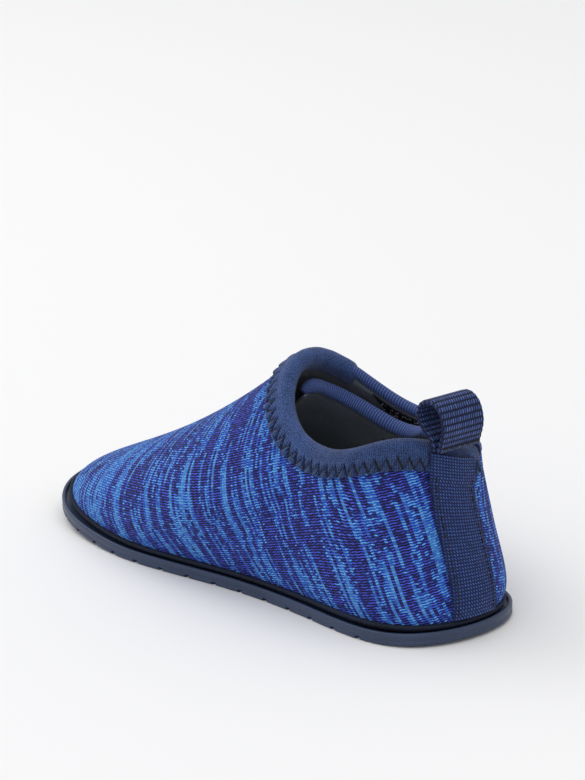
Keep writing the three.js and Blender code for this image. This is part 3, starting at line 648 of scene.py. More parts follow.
@dataclass(frozen=True)
class JerseyFinish:
    """Folded elastic jersey: heathered yarn in fine wales, mixed towards near black as painted shade where
    the crease attribute says.
    """

    name: str = "heathered_jersey_binding"
    shade: str = "#101b38"
    light: str = "#45629e"
    # near black that the crease attribute mixes in: painted shade in the binding's creases, under its lobes
    # and along its lower band
    fold: str = "#04060d"
    wale: float = 0.55
    depth: float = 0.15
    fleck: float = 1.9

    def make(self) -> bpy.types.Material:
        """Builds the jersey from the piece's millimetre grid."""
        made, shader = surface_shader(self.name)
        tree = made.node_tree
        cloth, across, along = cloth_grid(tree)
        wale = add(tree, MATH, {0: across, 1: 1 / self.wale}, operation="MULTIPLY")
        wale = add(tree, MATH, {0: wale, 1: 0.5}, operation="PINGPONG")
        course = add(tree, MATH, {0: along, 1: 0.72 / self.wale}, operation="MULTIPLY")
        course = add(tree, MATH, {0: course, 1: wale}, operation="ADD")
        course = add(tree, MATH, {0: course, 1: 0.5}, operation="PINGPONG")
        weave = add(tree, MATH, {0: course, 1: 0.5, 2: wale}, operation="MULTIPLY_ADD")
        heather = add(tree, NOISE, {"Vector": cloth, "Scale": 2.4, "Detail": 3.0, "Roughness": 0.7},
                      noise_dimensions="2D")
        broad = add(tree, NOISE, {"Vector": cloth, "Scale": 0.35, "Detail": 1.0}, noise_dimensions="2D")
        tone = add(tree, MATH, {0: heather, 1: self.fleck, 2: weave}, operation="MULTIPLY_ADD")
        tone = add(tree, MATH, {0: broad, 1: 0.35, 2: tone}, operation="MULTIPLY_ADD")
        tone = add(tree, RANGE, {"Value": tone, 1: 1.05, 2: 1.9})
        mixed = add(tree, MIX, {0: tone, A_COLOUR: linear(self.shade), B_COLOUR: linear(self.light)},
                    data_type="RGBA")
        # the crease attribute is painted shade in the creases, under the lobes and along the lower band, plus
        # a darkening along the big-toe side towards the heel
        crease = add(tree, "ShaderNodeAttribute", attribute_name="crease")
        sunk = add(tree, RANGE, {"Value": crease.outputs["Fac"], 3: 0.0, 4: 0.92})
        mixed = add(tree, MIX, {0: sunk, A_COLOUR: mixed.outputs[MIXED], B_COLOUR: linear(self.fold)},
                    data_type="RGBA")
        settle(tree, shader, mixed, tone, self.depth, 0.8, rough=0.85, specular=0.25, sheen=0.18,
               sheen_rough=0.4)
        return made


@dataclass(frozen=True)
class RibFinish:
    """Ribbed elastic: the crests of the ribs catch light and the grooves stay dark."""

    pitch: float = 0.8
    groove: str = "#16224a"
    crest: str = "#5570b4"

    def make(self) -> bpy.types.Material:
        """Builds the ribs across the roll."""
        made, shader = surface_shader("ribbed_elastic_binding")
        tree = made.node_tree
        cloth, across, _ = cloth_grid(tree)
        rib = add(tree, MATH, {0: across, 1: 1 / self.pitch}, operation="MULTIPLY")
        rib = add(tree, MATH, {0: rib, 1: 0.5}, operation="PINGPONG")
        yarn = add(tree, NOISE, {"Vector": cloth, "Scale": 3.0, "Detail": 2.0}, noise_dimensions="2D")
        tone = add(tree, MATH, {0: yarn, 1: 0.55, 2: rib}, operation="MULTIPLY_ADD")
        tone = add(tree, RANGE, {"Value": tone, 1: 0.28, 2: 0.85})
        mixed = add(tree, MIX, {0: tone, A_COLOUR: linear(self.groove), B_COLOUR: linear(self.crest)},
                    data_type="RGBA")
        settle(tree, shader, mixed, tone, 0.08, 0.6, rough=0.7, specular=0.3, sheen=0.2, sheen_rough=0.4)
        return made


@dataclass(frozen=True)
class WebbingFinish:
    """Woven nylon webbing: rows of small slanted floats over a darker ground."""

    name: str = "woven_nylon_webbing"
    row: float = 1.55
    float_length: float = 0.75
    ground: str = "#081030"
    yarn: str = "#5674bc"
    border: float = 6.2  # half width where the plain selvedge starts

    def make(self) -> bpy.types.Material:
        """Builds the floats from the webbing's millimetre grid: across, then along."""
        made, shader = surface_shader(self.name)
        tree = made.node_tree
        cloth, across, along = cloth_grid(tree)
        row = add(tree, MATH, {0: along, 1: 1 / self.row}, operation="MULTIPLY")
        number = add(tree, MATH, {0: row}, operation="FLOOR")
        rise = add(tree, MATH, {0: row, 1: 0.5}, operation="PINGPONG")
        slant = add(tree, MATH, {0: row, 1: 0.55}, operation="MULTIPLY")
        step = add(tree, MATH, {0: number, 1: 0.37, 2: slant}, operation="MULTIPLY_ADD")
        cell = add(tree, MATH, {0: across, 1: 1 / self.float_length, 2: step},
                   operation="MULTIPLY_ADD")
        place = add(tree, MATH, {0: cell}, operation="FLOOR")
        dash = add(tree, MATH, {0: cell, 1: 0.5}, operation="PINGPONG")
        dash = add(tree, RANGE, {"Value": dash, 1: 0.12, 2: 0.42}, interpolation_type="SMOOTHSTEP")
        body = add(tree, RANGE, {"Value": rise, 1: 0.06, 2: 0.34}, interpolation_type="SMOOTHSTEP")
        lit = add(tree, MATH, {0: dash, 1: body}, operation="MULTIPLY")
        chance = add(tree, "ShaderNodeTexWhiteNoise", {"Vector": add(tree, JOIN, {0: place, 1: number})},
                     noise_dimensions="2D")
        shine = add(tree, RANGE, {"Value": chance, 1: 0.0, 2: 1.0, 3: 0.45, 4: 1.0})
        lit = add(tree, MATH, {0: lit, 1: shine}, operation="MULTIPLY")
        side = add(tree, MATH, {0: across}, operation="ABSOLUTE")
        inside = add(tree, RANGE, {"Value": side, 1: self.border, 2: self.border + 0.3, 3: 1.0, 4: 0.45})
        tone = add(tree, MATH, {0: lit, 1: inside}, operation="MULTIPLY")
        mixed = add(tree, MIX, {0: tone, A_COLOUR: linear(self.ground), B_COLOUR: linear(self.yarn)},
                    data_type="RGBA")
        settle(tree, shader, mixed, lit, 0.25, 0.8, rough=0.62, specular=0.25, sheen=0.05,
               sheen_rough=0.35)
        return made


@dataclass(frozen=True)
class PlainFinish:
    """A material with one yarn or compound: a mottled colour, a fine grain and a set gloss."""

    name: str
    shade: str
    light: str
    grain: float  # millimetres
    depth: float
    roughness: float
    specular: float = 0.35
    sheen: float = 0.0

    def make(self) -> bpy.types.Material:
        """Builds the grain in object space."""
        made, shader = surface_shader(self.name)
        tree = made.node_tree
        place = add(tree, "ShaderNodeTexCoord").outputs["Object"]
        grain = add(tree, NOISE, {"Vector": place, "Scale": 1 / (self.grain * MM), "Detail": 3.0,
                                  "Roughness": 0.6})
        broad = add(tree, NOISE, {"Vector": place, "Scale": 60.0, "Detail": 2.0})
        tone = add(tree, MATH, {0: broad, 1: 0.6, 2: grain}, operation="MULTIPLY_ADD")
        tone = add(tree, RANGE, {"Value": tone, 1: 0.55, 2: 1.05})
        mixed = add(tree, MIX, {0: tone, A_COLOUR: linear(self.shade), B_COLOUR: linear(self.light)},
                    data_type="RGBA")
        rough = add(tree, RANGE, {"Value": grain, 1: 0.3, 2: 0.7, 3: max(self.roughness - 0.06, 0.05),
                                  4: min(self.roughness + 0.06, 1.0)})
        tree.links.new(rough.outputs[0], shader.inputs["Roughness"])
        settle(tree, shader, mixed, grain, self.depth, 0.7, specular=self.specular, sheen=self.sheen)
        return made


# Moulded rubber: satin, with a soft mould texture that breaks up its highlights
SOLE_RUBBER = PlainFinish("moulded_sole_rubber", "#26334c", "#33425f", 0.5, 0.04, 0.42, 0.45)
# Folded woven tape: matt and near black, partly its own dark colour and partly painted shade of the gap under
# the sole's lip, with a coarse weave that only shows in its relief
RAND_TAPE_AND_GAP_SHADE = PlainFinish("rand_tape_with_gap_shade", "#060910", "#1c2740", 0.5, 0.3, 0.8)
# Brushed nylon jersey bonded to the foam: a dark nap, given a lighter grey as painted light inside the shoe,
# where it still darkens; the footbed's cover is painted lighter still, towards near white, as painted light
# on it
LIGHTENED_LINING_CLOTH = PlainFinish("brushed_nylon_lining_painted_light", "#5a6068", "#828a94", 0.4, 0.08, 0.8, 0.25, 0.1)
LIGHTENED_FOOTBED_CLOTH = PlainFinish("brushed_footbed_cloth_painted_light", "#8a8e94", "#d0d2d4", 0.45, 0.12, 0.85, 0.25, 0.15)
# Pressed EVA foam and fibre board: dull and even, hidden under the footbed's cover
FOOTBED_FOAM = PlainFinish("eva_foam", "#2c3038", "#41464f", 0.6, 0.1, 0.8)
BOARD = PlainFinish("fibre_insole_board", "#2a2f38", "#454b56", 0.6, 0.05, 0.85)
# Bonded polyester thread: black, with a slight gloss along each stitch
THREAD = PlainFinish("bonded_black_thread", "#05070c", "#161b28", 0.3, 0.05, 0.5, 0.5)
# Woven nylon ground of the hook tape, and its cut bristles: black nylon mottled towards near white, painted
# glints on the hooks
HOOKS = PlainFinish("nylon_hook_ground", "#05060a", "#14171f", 0.5, 0.2, 0.55, 0.4)
HOOK_YARN_AND_GLINTS = PlainFinish("black_nylon_hooks_and_painted_glints", "#20242e", "#c8ccd4", 0.9, 0.0, 0.2, 0.8)
# Brushed nylon loops: a deep, dull black pile
PILE = PlainFinish("brushed_loop_pile", "#07080c", "#1c2029", 0.35, 0.3, 0.95, 0.2, 0.3)


@dataclass
class Piece:
    """How one finished piece is tied to the model."""

    made: bpy.types.Object
    body: Body
    slot: str
    replaces: tuple[str, ...] = ()

    def place(self, finish: bpy.types.Material, rides: bool = True) -> bpy.types.Object:
        """Gives the piece its material and its body.

        Args:
            finish: The piece's material.
            rides: False for a piece that is left without a body.

        Returns:
            The piece's object.
        """
        self.made.data.materials.append(finish)
        if self.replaces:
            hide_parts(*self.replaces)
        if rides:
            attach(self.made, self.body.value)
        triangles = sum(len(f.vertices) - 2 for f in self.made.data.polygons)
        log.info("%s: %d triangles", self.made.name, triangles)
        return self.made


@dataclass
class Laminate:
    """Thicknesses of the knit-faced neoprene and the trims that fold round it."""

    face: float = 0.4
    core: float = 1.6
    lining: float = 0.4
    gap: float = 0.3
    seam_gap: float = 0.6
    binding_leg: float = 0.6
    binding_drop: float = 7.6
    binding_inner_drop: float = 5.6
    ridge: float = 2.6

    @property
    def thick(self) -> float:
        """The whole laminate with its glue lines."""
        return self.face + self.core + self.lining + 2 * self.gap

    @property
    def edge_drop(self) -> float:
        """How far the laminate's edge lies below the collar line."""
        return self.ridge + self.gap


@dataclass
class Upper:
    """The knit-faced neoprene panels: vamp, inner quarter and closure flap."""

    last: Last
    build: Laminate
    hinge_x: float = -19.0
    bend: float = 9.0  # the flap's knit starts this far ahead of its hinge line
    flap_back_x: float = -56.0
    flap_low: float = 0.5
    flap_corner: float = 0.08
    hook: float = 0.6
    loop: float = 0.5
    quarter_roll: float = 3.9
    quarter_drop_rear: float = 0.0
    quarter_drop_front: float = 5.0
    quarter_lean: float = 1.3
    tuck_foot: float = 0.08
    tuck_low: float = 0.3
    tuck_high: float = 0.95
    lap: float = 8.0  # how far behind the flap the collar binding starts
    bend_ahead: float = 4.5  # the bend zone's first point lies this far ahead of the hinge line
    bend_behind: float = 1.5  # and its second this far behind it
    rounding: float = 0.2  # share of the flap's length that its free corner takes up
    rows_below: int = 26  # of the panels' grids, up to the flap's low edge
    rows_above: int = 27

    def __post_init__(self) -> None:
        """Derives the depth at which the quarter lies under the flap."""
        self.tuck = self.build.thick + self.hook + self.loop + 4 * self.build.gap
        self.heel_seam = 0.12 / self.last.heel_width

    def under_flap(self, t: Array, v: Array) -> Array:
        """0 where the quarter is flush with the upper, 1 where it lies under the flap."""
        x = self.last.surface(t, v)[..., 0]
        rise = smooth(self.flap_low - 0.16, self.flap_low - 0.04, v)
        return rise * smooth(self.flap_back_x - 7, self.flap_back_x - 1.5, x)

    def quarter_sink(self, t: Array, v: Array) -> Array:
        """How far the quarter lies inside the upper's surface."""
        return self.under_flap(t, v) * (self.tuck + self.quarter_lean * smooth(0.6, 0.9, v))

    def quarter_drop(self, t: Array) -> Array:
        """How far the roll on the quarter sits below the collar line; it dips under the throat."""
        return lerp(self.quarter_drop_rear, self.quarter_drop_front, smooth(-0.95, -0.1, t))

    def quarter_top(self, t: Array) -> Array:
        """The v of the quarter's upper edge."""
        hidden = self.under_flap(t, np.full_like(t, 0.9))
        low = self.quarter_drop(t) + self.quarter_roll / 2 + self.build.gap
        return self.last.drop(t, lerp(self.build.edge_drop, low, hidden))

    def quarter_seam(self, v: Array) -> Array:
        """The t of the seam between quarter and vamp."""
        back = 2 * smooth(self.flap_low - 0.2, self.flap_low - 0.1, v)
        return self.last.outer_at(self.hinge_x - 0.15 - back - 0.45 * np.minimum(back, 1), v)

    def quarter_tuck(self, v: Array) -> Array:
        """How far in t the quarter runs on under the vamp."""
        foot = self.tuck_foot * smooth(self.flap_low - 0.14, self.flap_low - 0.05, v)
        above = smooth(self.flap_low + 0.04, self.flap_low + 0.3, v)
        return foot + above * lerp(self.tuck_low, self.tuck_high, v)

    def corner(self, low: float, u: Array) -> Array:
        """The v of the flap's low edge, whose free corner is rounded; u runs from the free end."""
        away = np.maximum(1 - u / self.rounding, 0)
        return low + self.flap_corner * (1 - np.sqrt(1 - away ** 2))

    def panel(self, name: str, t: Array, v: Array, sink: Array, outer: float,
              inner: float) -> bpy.types.Object:
        """A panel layer between two depths under the surface."""
        place = self.last.surface(t, v)
        normal = self.last.normal(t, v)
        top = place - normal * (sink + outer)[..., None]
        under = place - normal * (sink + inner)[..., None]
        return shell(name, top, under, self.last.cloth(t, v))

    def vamp_grid(self) -> tuple[Array, Array]:
        """The vamp from ahead of the flap round the toe and the big-toe side to the heel seam."""
        rough = np.concatenate([np.linspace(0, self.flap_low, self.rows_below),
                                np.linspace(self.flap_low, 1, self.rows_above)[1:]])
        front = self.last.outer_at(self.hinge_x + self.bend, rough)[:, None]
        u = np.linspace(0, 1, 300)[None, :]
        t = lerp(front, PI - self.heel_seam, u)
        top = self.last.drop(t, self.build.edge_drop)
        v = np.where(rough[:, None] <= self.flap_low, rough[:, None],
                     lerp(self.flap_low, top, ((rough - self.flap_low) / (1 - self.flap_low))[:, None]))
        return t, v

    def side_grid(self) -> tuple[Array, Array]:
        """The vamp's low part under the flap's front end, up to the seam with the quarter."""
        rough = np.linspace(0, self.flap_low, self.rows_below)
        back = self.last.outer_at(self.hinge_x, rough)[:, None]
        front = self.last.outer_at(self.hinge_x + self.bend, rough)[:, None]
        t = lerp(back, front, np.linspace(0, 1, 10)[None, :])
        return t, np.broadcast_to(rough[:, None], t.shape)

    def flap_grid(self) -> tuple[Array, Array]:
        """The flap, its free end rounded at the lower corner."""
        rough = np.linspace(self.flap_low, 1, self.rows_above)
        front = self.last.outer_at(self.hinge_x + self.bend, rough)[:, None]
        back = self.last.outer_at(self.flap_back_x, rough)[:, None]
        u = np.linspace(0, 1, 80)[None, :]
        t = lerp(back, front, u)
        top = self.last.drop(t, self.build.edge_drop)
        share = ((rough - self.flap_low) / (1 - self.flap_low))[:, None]
        return t, lerp(self.corner(self.flap_low, u), top, share)

    def quarter_grid(self, reach: float = 1.0) -> tuple[Array, Array]:
        """The inner quarter from the heel seam to where it ends under the vamp, as a share of its tuck."""
        rough = np.linspace(0, 1, 56)
        seam = self.quarter_seam(rough)[:, None]
        u = np.linspace(0, 1, 140)[None, :]
        wall = 0.7
        tuck = np.maximum((u - wall) / (1 - wall), 0) * self.quarter_tuck(rough)[:, None] * reach
        t = lerp(self.heel_seam - PI, seam, np.minimum(u / wall, 1)) + tuck
        return t, rough[:, None] * self.quarter_top(t)

    def joined(self, name: str, grids: list[tuple[Array, Array]], outer: float,
               inner: float) -> bpy.types.Object:
        """One piece from panels that share an edge."""
        parts = [self.panel(f"{name}_{k}", t, v, np.zeros_like(t), outer, inner)
                 for k, (t, v) in enumerate(grids)]
        unselect()
        for part in parts:
            part.select_set(True)
        bpy.context.view_layer.objects.active = parts[0]
        if len(parts) > 1:
            bpy.ops.object.join()
        parts[0].name = parts[0].data.name = name
        return parts[0]

    def bend_zone(self) -> tuple[Vector, Vector]:
        """Two points level with the hinge line on the outer side: one ahead of it and one behind it."""
        level = np.array(0.6)
        place = self.last.surface(self.last.outer_at(np.array(self.hinge_x), level), level)
        y, z = float(place[1]) * MM, float(place[2]) * MM
        ahead, behind = self.hinge_x + self.bend_ahead, self.hinge_x - self.bend_behind
        return Vector((ahead * MM, y, z)), Vector((behind * MM, y, z))

    def make(self, knit: bpy.types.Material, lining: bpy.types.Material) -> None:
        deep = self.build.face + self.build.gap + self.build.core
        total = self.build.thick
        start, end = self.bend_zone()
        for layer, finish, slot, outer, inner in (
            ("knit", knit, "knit_face", 0.0, deep),
            ("lining", lining, "lining", deep + 0.02, total),
        ):
            hidden = ("vamp_face", "vamp_core") if layer == "knit" else ("vamp_lining",)
            vamp = self.joined(f"vamp_{layer}_cloth", [self.vamp_grid(), self.side_grid()], outer, inner)
            Piece(vamp, Body.SHOE, slot, hidden).place(finish)
            hidden = tuple(n.replace("vamp", "flap") for n in hidden)
            flap = self.joined(f"flap_{layer}_cloth", [self.flap_grid()], outer, inner)
            Piece(flap, Body.FLAP, slot, hidden).place(finish, rides=False)
            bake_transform(flap)
            hidden = tuple(n.replace("flap", "quarter") for n in hidden)
            t, v = self.quarter_grid(0.6 if layer == "knit" else 1.0)
            quarter = self.panel(f"quarter_{layer}_cloth", t, v, self.quarter_sink(t, v), outer, inner)
            Piece(quarter, Body.SHOE, slot, hidden).place(finish)


@dataclass
class Collar:
    """The jersey binding round the ankle opening, gathered by its zigzag stitching."""

    upper: Upper
    pitch: float = 2.7
    swing: float = 1.45
    middle: float = 5.9
    pucker: float = 1.0
    crease_width: float = 0.36
    loose_leg: float = 0.55  # how deep the loose leg's crease is against the tight one's
    end_round: float = 2.6
    end_drop: float = 3.6
    thread: float = 0.24

    def ends(self) -> tuple[float, float]:
        """The t where the binding starts behind the flap and ends at the throat's corner."""
        last = self.upper.last
        start = last.collar_at(self.upper.flap_back_x - self.upper.lap) + 2 * PI
        return start, last.collar_at(self.upper.hinge_x)

    def run(self) -> tuple[Array, Array]:
        """Even steps along the collar: t and millimetres from the start."""
        start, end = self.ends()
        t = np.linspace(start, end, 4001)
        length = length_along(self.upper.last.collar(t))
        tip = 2.4  # each end has finer steps over this length
        even = np.concatenate([np.linspace(0, tip, 24)[:-1], np.linspace(tip, length[-1] - tip, 740),
                               length[-1] - np.linspace(tip, 0, 24)[1:]])
        return np.interp(even, length, t), even

    def zigzag(self, along: Array) -> Array:
        """How far down the stitching runs at each place along the collar."""
        q = (along / self.pitch) % 1
        wave = np.where(q < 0.5, q * 2, 2 - q * 2)
        return self.middle + self.swing * (1 - 2 * wave)

    def section(self, outer: float, inner: float) -> tuple[Array, Array, Array]:
        """The binding's section before it is gathered.

        Args:
            outer: Height of its outer face over the upper's surface.
            inner: Height of its inner face, below zero.

        Returns:
            Height, drop from the collar, and the share of the puckers, each as one row.
        """
        build = self.upper.build
        radius, middle = (outer - inner) / 2, (outer + inner) / 2
        places: list[tuple[float, float, float]] = []
        for s in np.linspace(build.binding_drop, radius, 22):
            places.append((outer, float(s), 1.0))
        for angle in np.linspace(0, 1, 17)[1:]:
            n, s = middle + radius * math.cos(angle * PI), radius * (1 - math.sin(angle * PI))
            places.append((n, s, 0.0))
        for s in np.linspace(radius, build.binding_inner_drop, 7)[1:]:
            places.append((inner, float(s), 0.0))
        places += [(inner + 0.5, build.binding_inner_drop, 0.0), (inner + 0.5, build.edge_drop - 0.2, 0.0),
                   (outer - 0.5, build.edge_drop - 0.2, 0.0), (outer - 0.5, build.binding_drop, 0.0)]
        table = np.array(places)
        return table[None, :, 0], table[None, :, 1], table[None, :, 2]

    def make(self, jersey: bpy.types.Material, thread: bpy.types.Material) -> None:
        """Builds the binding and its stitching."""
        build, last = self.upper.build, self.upper.last
        t, along = self.run()
        outer = build.gap + build.binding_leg
        inner = -build.thick - build.gap - build.binding_leg
        middle = (outer + inner) / 2
        n0, s0, gathered = self.section(outer, inner)
        a = along[:, None]
        fade = gathered * smooth(3.0, 4.6, s0)
        track = np.abs(s0 - self.zigzag(a)) * 0.42
        # the stitch pulls hard on its way down and lies loose on its way back
        leg = np.where((a / self.pitch) % 1 < 0.5, 1.0, self.loose_leg)
        crease = leg * np.exp(-((track / self.crease_width) ** 2))
        lobe = 0.5 - 0.5 * np.cos(2 * PI * a / self.pitch)
        under = smooth(6.4, 7.6, s0)
        roll = np.sin(a * 0.9) * np.sin(a * 0.37 + 1) * 0.06
        n1 = n0 + fade * (self.pucker * (0.45 - crease) - under * 0.25 * (1 - lobe)) + roll * (1 - fade)
        s1 = s0 + fade * under * 0.3 * (lobe - 0.5)
        # both ends are tucked in and rounded off
        left = np.minimum(along[-1] - along, along)[:, None]
        close = np.sqrt(np.clip(1 - (1 - np.minimum(left / self.end_round, 1)) ** 2, 0.03, 1))
        n1 = middle + (n1 - middle) * close
        s1 = self.end_drop + (s1 - self.end_drop) * close
        tt = np.broadcast_to(t[:, None], n1.shape)
        grid = last.offset(tt, last.drop(tt, np.maximum(s1, 0)), n1)
        run = np.concatenate([[0], np.cumsum(np.hypot(np.diff(n0[0]), np.diff(s0[0])))])
        uv = np.stack(np.broadcast_arrays(a, run[None, :]), -1)
        binding = swept("collar_jersey_binding", grid, uv=uv)
        # painted shade for the binding's colour: darker in the zigzag creases, under the lobes at its lower
        # edge, and along the lower band of the gathered part
        dark = binding.data.attributes.new("crease", "FLOAT", "POINT")
        crease_and_lobe_shade = fade * np.maximum(crease, 0.7 * smooth(7.0, 7.6, s0) * (1 - lobe))
        medial_darkening = 0.28 * smooth(1.2, 1.9, t)[:, None]  # darker along the big-toe side towards the heel
        lower_band_shade = 0.16 * fade * smooth(3.8, 5.2, s0)
        dark.data.foreach_set("value", np.maximum(crease_and_lobe_shade, medial_darkening + lower_band_shade).ravel())
        Piece(binding, Body.SHOE, "navy_binding", ("collar_binding",)).place(jersey)
        self.stitch(thread, t, along, outer)

    def stitch(self, thread: bpy.types.Material, t: Array, along: Array, outer: float) -> None:
        """The coverstitch: slanted bars over the creases and a small knot at each turn."""
        last = self.upper.last
        runs = []
        count = int(along[-1] / (self.pitch / 2))
        for k in range(1, count - 1):
            q = np.linspace(0.04, 0.96, 7)
            a = (k + q) * self.pitch / 2
            tt = np.interp(a, along, t)
            v = last.drop(tt, self.zigzag(a))
            lift = outer - (0.42 if k % 2 == 0 else 0.3) + 0.1 * np.sin(q * PI)
            runs.append((last.offset(tt, v, lift), last.normal(tt, v)))
            if k % 2 == 0:
                a = k * self.pitch / 2 + np.linspace(-0.35, 0.35, 4)
                tt = np.interp(a, along, t)
                v = last.drop(tt, np.full_like(tt, self.middle + self.swing + 0.15))
                runs.append((last.offset(tt, v, np.full_like(tt, outer - 0.1)), last.normal(tt, v)))
        made = threads("collar_zigzag_thread", runs, self.thread, self.thread * 0.8)
        Piece(made, Body.SHOE, "black_thread", ("collar_stitching",)).place(thread)


@dataclass
class Closure:
    """The ribbed rolls and the hook and loop tapes at the outer side."""

    upper: Upper
    edge_roll: float = 2.6
    rib: float = 0.8
    rib_depth: float = 0.13
    rib_step: float = 0.1
    closure_low: float = 0.6
    hook_margin: float = 2.0
    loop_margin: float = 4.0
    inset: float = 2.0

    def ribbed(self, name: str, t: Array,
               section: Callable[[Array, Array], tuple[Array, Array]]) -> bpy.types.Object:
        """A roll whose ribs run round its section.

        Args:
            name: The piece's name.
            t: Steps along the roll.
            section: Gives height off the surface and drop for t and an angle from 0 to 1.

        Returns:
            The ribbed roll.
        """
        last = self.upper.last
        along = length_along(last.collar(t))
        even = np.arange(0, along[-1], self.rib_step)
        tt = np.interp(even, along, t)[:, None]
        share = np.linspace(0, 1, 15)[None, :]
        tt, share = np.broadcast_arrays(tt, share)
        n, s = section(tt, share)
        wave = np.abs(np.sin(PI * even / self.rib))[:, None]
        swell = self.rib_depth * (wave ** 0.7 - 1) * np.sin(PI * np.clip(share, 0.02, 0.98))
        n = n + swell * np.cos(PI * share)
        s = s - swell * np.sin(PI * share)
        grid = last.offset(tt, last.drop(tt, np.maximum(s, 0)), n)
        uv = np.stack(np.broadcast_arrays(even[:, None], share * 8.0), -1)
        return swept(name, grid, uv=uv)

    def flap_section(self, t: Array, share: Array) -> tuple[Array, Array]:
        """Height and drop of the flap's roll, which folds over the bare edge."""
        radius = self.upper.build.thick / 2
        drop = radius * (1 - np.sin(PI * share))
        drop = np.where((share < 0.02) | (share > 0.98), self.edge_roll, drop)
        return -radius + radius * np.cos(PI * share), drop

    def quarter_end(self) -> float:
        """The t where the quarter's edge ends behind the throat."""
        one = np.array([1.0])
        return float((self.upper.quarter_seam(one) + self.upper.quarter_tuck(one))[0])

    def quarter_section(self, t: Array, share: Array) -> tuple[Array, Array]:
        """Height and drop of the quarter's roll, which runs out behind the throat."""
        upper, build = self.upper, self.upper.build
        hidden = upper.under_flap(t, np.full_like(t, 0.9))
        middle = -upper.quarter_sink(t, np.full_like(t, 0.95)) - build.thick / 2
        top = lerp(0, upper.quarter_drop(t), hidden)
        size = build.thick / 2 + build.binding_leg
        low = upper.quarter_drop(t) + upper.quarter_roll / 2 + build.gap
        foot = lerp(build.edge_drop, low, hidden) - 1.5 * build.gap
        n = size * np.cos(PI * np.clip(share, 0.1, 0.9)) + middle
        drop = top + (foot - top) * (1 - np.sin(PI * share))
        drop = np.where((share < 0.02) | (share > 0.98), foot + 0.5, drop)
        close = np.sqrt(np.clip(1 - (1 - np.minimum((self.quarter_end() - t) / 0.3, 1)) ** 2, 0.02, 1))
        return middle + (n - middle) * close, foot + (drop - foot) * close

    def rolls(self, finish: bpy.types.Material) -> None:
        """The flap's rolled top edge, and the thicker roll on the quarter's edge."""
        upper, last = self.upper, self.upper.last
        back = last.collar_at(upper.flap_back_x) + 0.01
        front = last.collar_at(upper.hinge_x + 1.6)
        made = self.ribbed("flap_ribbed_roll", np.linspace(back, front, 800), self.flap_section)
        Piece(made, Body.FLAP, "ribbed_elastic", ("flap_edge_binding",)).place(finish, rides=False)
        bend_start, bend_end = upper.bend_zone()
        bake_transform(made)
        start = last.collar_at(upper.flap_back_x - upper.lap) + 0.03
        steps = np.linspace(start, self.quarter_end(), 1200)
        made = self.ribbed("quarter_ribbed_roll", steps, self.quarter_section)
        Piece(made, Body.SHOE, "ribbed_elastic", ("quarter_edge_binding",)).place(finish)

    def region(self, u: Array, w: Array, top_drop: float, margin: float) -> tuple[Array, Array]:
        """A place on a closure tape, as t and v."""
        upper, last = self.upper, self.upper.last
        level = lerp(self.closure_low, 1, w)
        back = last.outer_at(upper.flap_back_x + margin, level)
        front = last.outer_at(upper.hinge_x - upper.build.seam_gap - margin, level)
        t = lerp(back, front, u)
        return t, lerp(upper.corner(self.closure_low, u), last.drop(t, top_drop), w)

    def tape(self, name: str, depth: float, thick: float, top_drop: float,
             margin: float) -> bpy.types.Object:
        """A closure tape inside the upper's surface."""
        last = self.upper.last
        u, w = np.meshgrid(np.linspace(0, 1, 60), np.linspace(0, 1, 30))
        t, v = self.region(u, w, top_drop, margin)
        place, normal = last.surface(t, v), last.normal(t, v)
        return shell(name, place - normal * depth, place - normal * (depth + thick), last.cloth(t, v))

    def hooks(self, finish: bpy.types.Material, depth: float) -> None:
        """Rows of little nylon hooks on the inside of the flap, each a bent bristle."""
        last = self.upper.last
        random = np.random.default_rng(7)
        u, w = np.meshgrid(np.linspace(0.03, 0.97, 46), np.linspace(0.04, 0.985, 19))
        u, w = u.ravel() + random.normal(0, 0.004, u.size), w.ravel() + random.normal(0, 0.012, w.size)
        t, v = self.region(np.clip(u, 0.01, 0.99), np.clip(w, 0.01, 0.99),
                           self.upper.build.edge_drop + self.upper.build.gap, self.hook_margin)
        foot, inward = last.surface(t, v), -last.normal(t, v)
        lean = np.cross(inward, random.normal(0, 1, inward.shape))
        lean /= np.linalg.norm(lean, axis=1, keepdims=True)
        runs = []
        for p, n, d in zip(foot, inward, lean):
            base = p + n * (depth - 0.02)
            path = np.array([base, base + n * 0.3, base + n * 0.48 + d * 0.15, base + n * 0.36 + d * 0.36])
            runs.append((path, np.tile(np.cross(n, d), (4, 1))))
        made = threads("hook_tape_bristles", runs, 0.13, 0.13, corners=3)
        Piece(made, Body.FLAP, "hook_plastic").place(finish)

    def tapes(self, ground: bpy.types.Material, bristle: bpy.types.Material, pile: bpy.types.Material,
              thread: bpy.types.Material) -> None:
        """The hook tape inside the flap, the loop tape on the quarter, and their stitching."""
        upper, build, last = self.upper, self.upper.build, self.upper.last
        depth = build.thick + 0.02
        hook = self.tape("hook_tape_cloth", depth, 0.4, build.edge_drop + build.gap, self.hook_margin)
        Piece(hook, Body.FLAP, "hook_plastic", ("hook_tape",)).place(ground)
        self.hooks(bristle, depth + 0.4)
        loop_top = build.binding_drop + 1
        loop_depth = upper.tuck - 1.3 * build.gap - upper.loop
        loop = self.tape("loop_tape_pile", loop_depth, upper.loop, loop_top, self.loop_margin)
        rough = np.random.default_rng(3).normal(0, 0.04 * MM, (len(loop.data.vertices), 3))
        for vertex, shift in zip(loop.data.vertices, rough):
            vertex.co += Vector(shift)
        Piece(loop, Body.SHOE, "loop_pile", ("loop_tape",)).place(pile)
        tops = build.binding_drop, loop_top + self.inset
        for name, node, body, top, margin in (
            ("hook_tape_thread", "hook_tape_stitch", Body.FLAP, tops[0], self.hook_margin),
            ("loop_tape_thread", "loop_tape_stitch", Body.SHOE, tops[1], self.loop_margin),
        ):
            made = threads(name, self.frame_stitch(body, top, margin + self.inset), 0.45, 0.3)
            Piece(made, body, "black_thread", (node,)).place(thread)

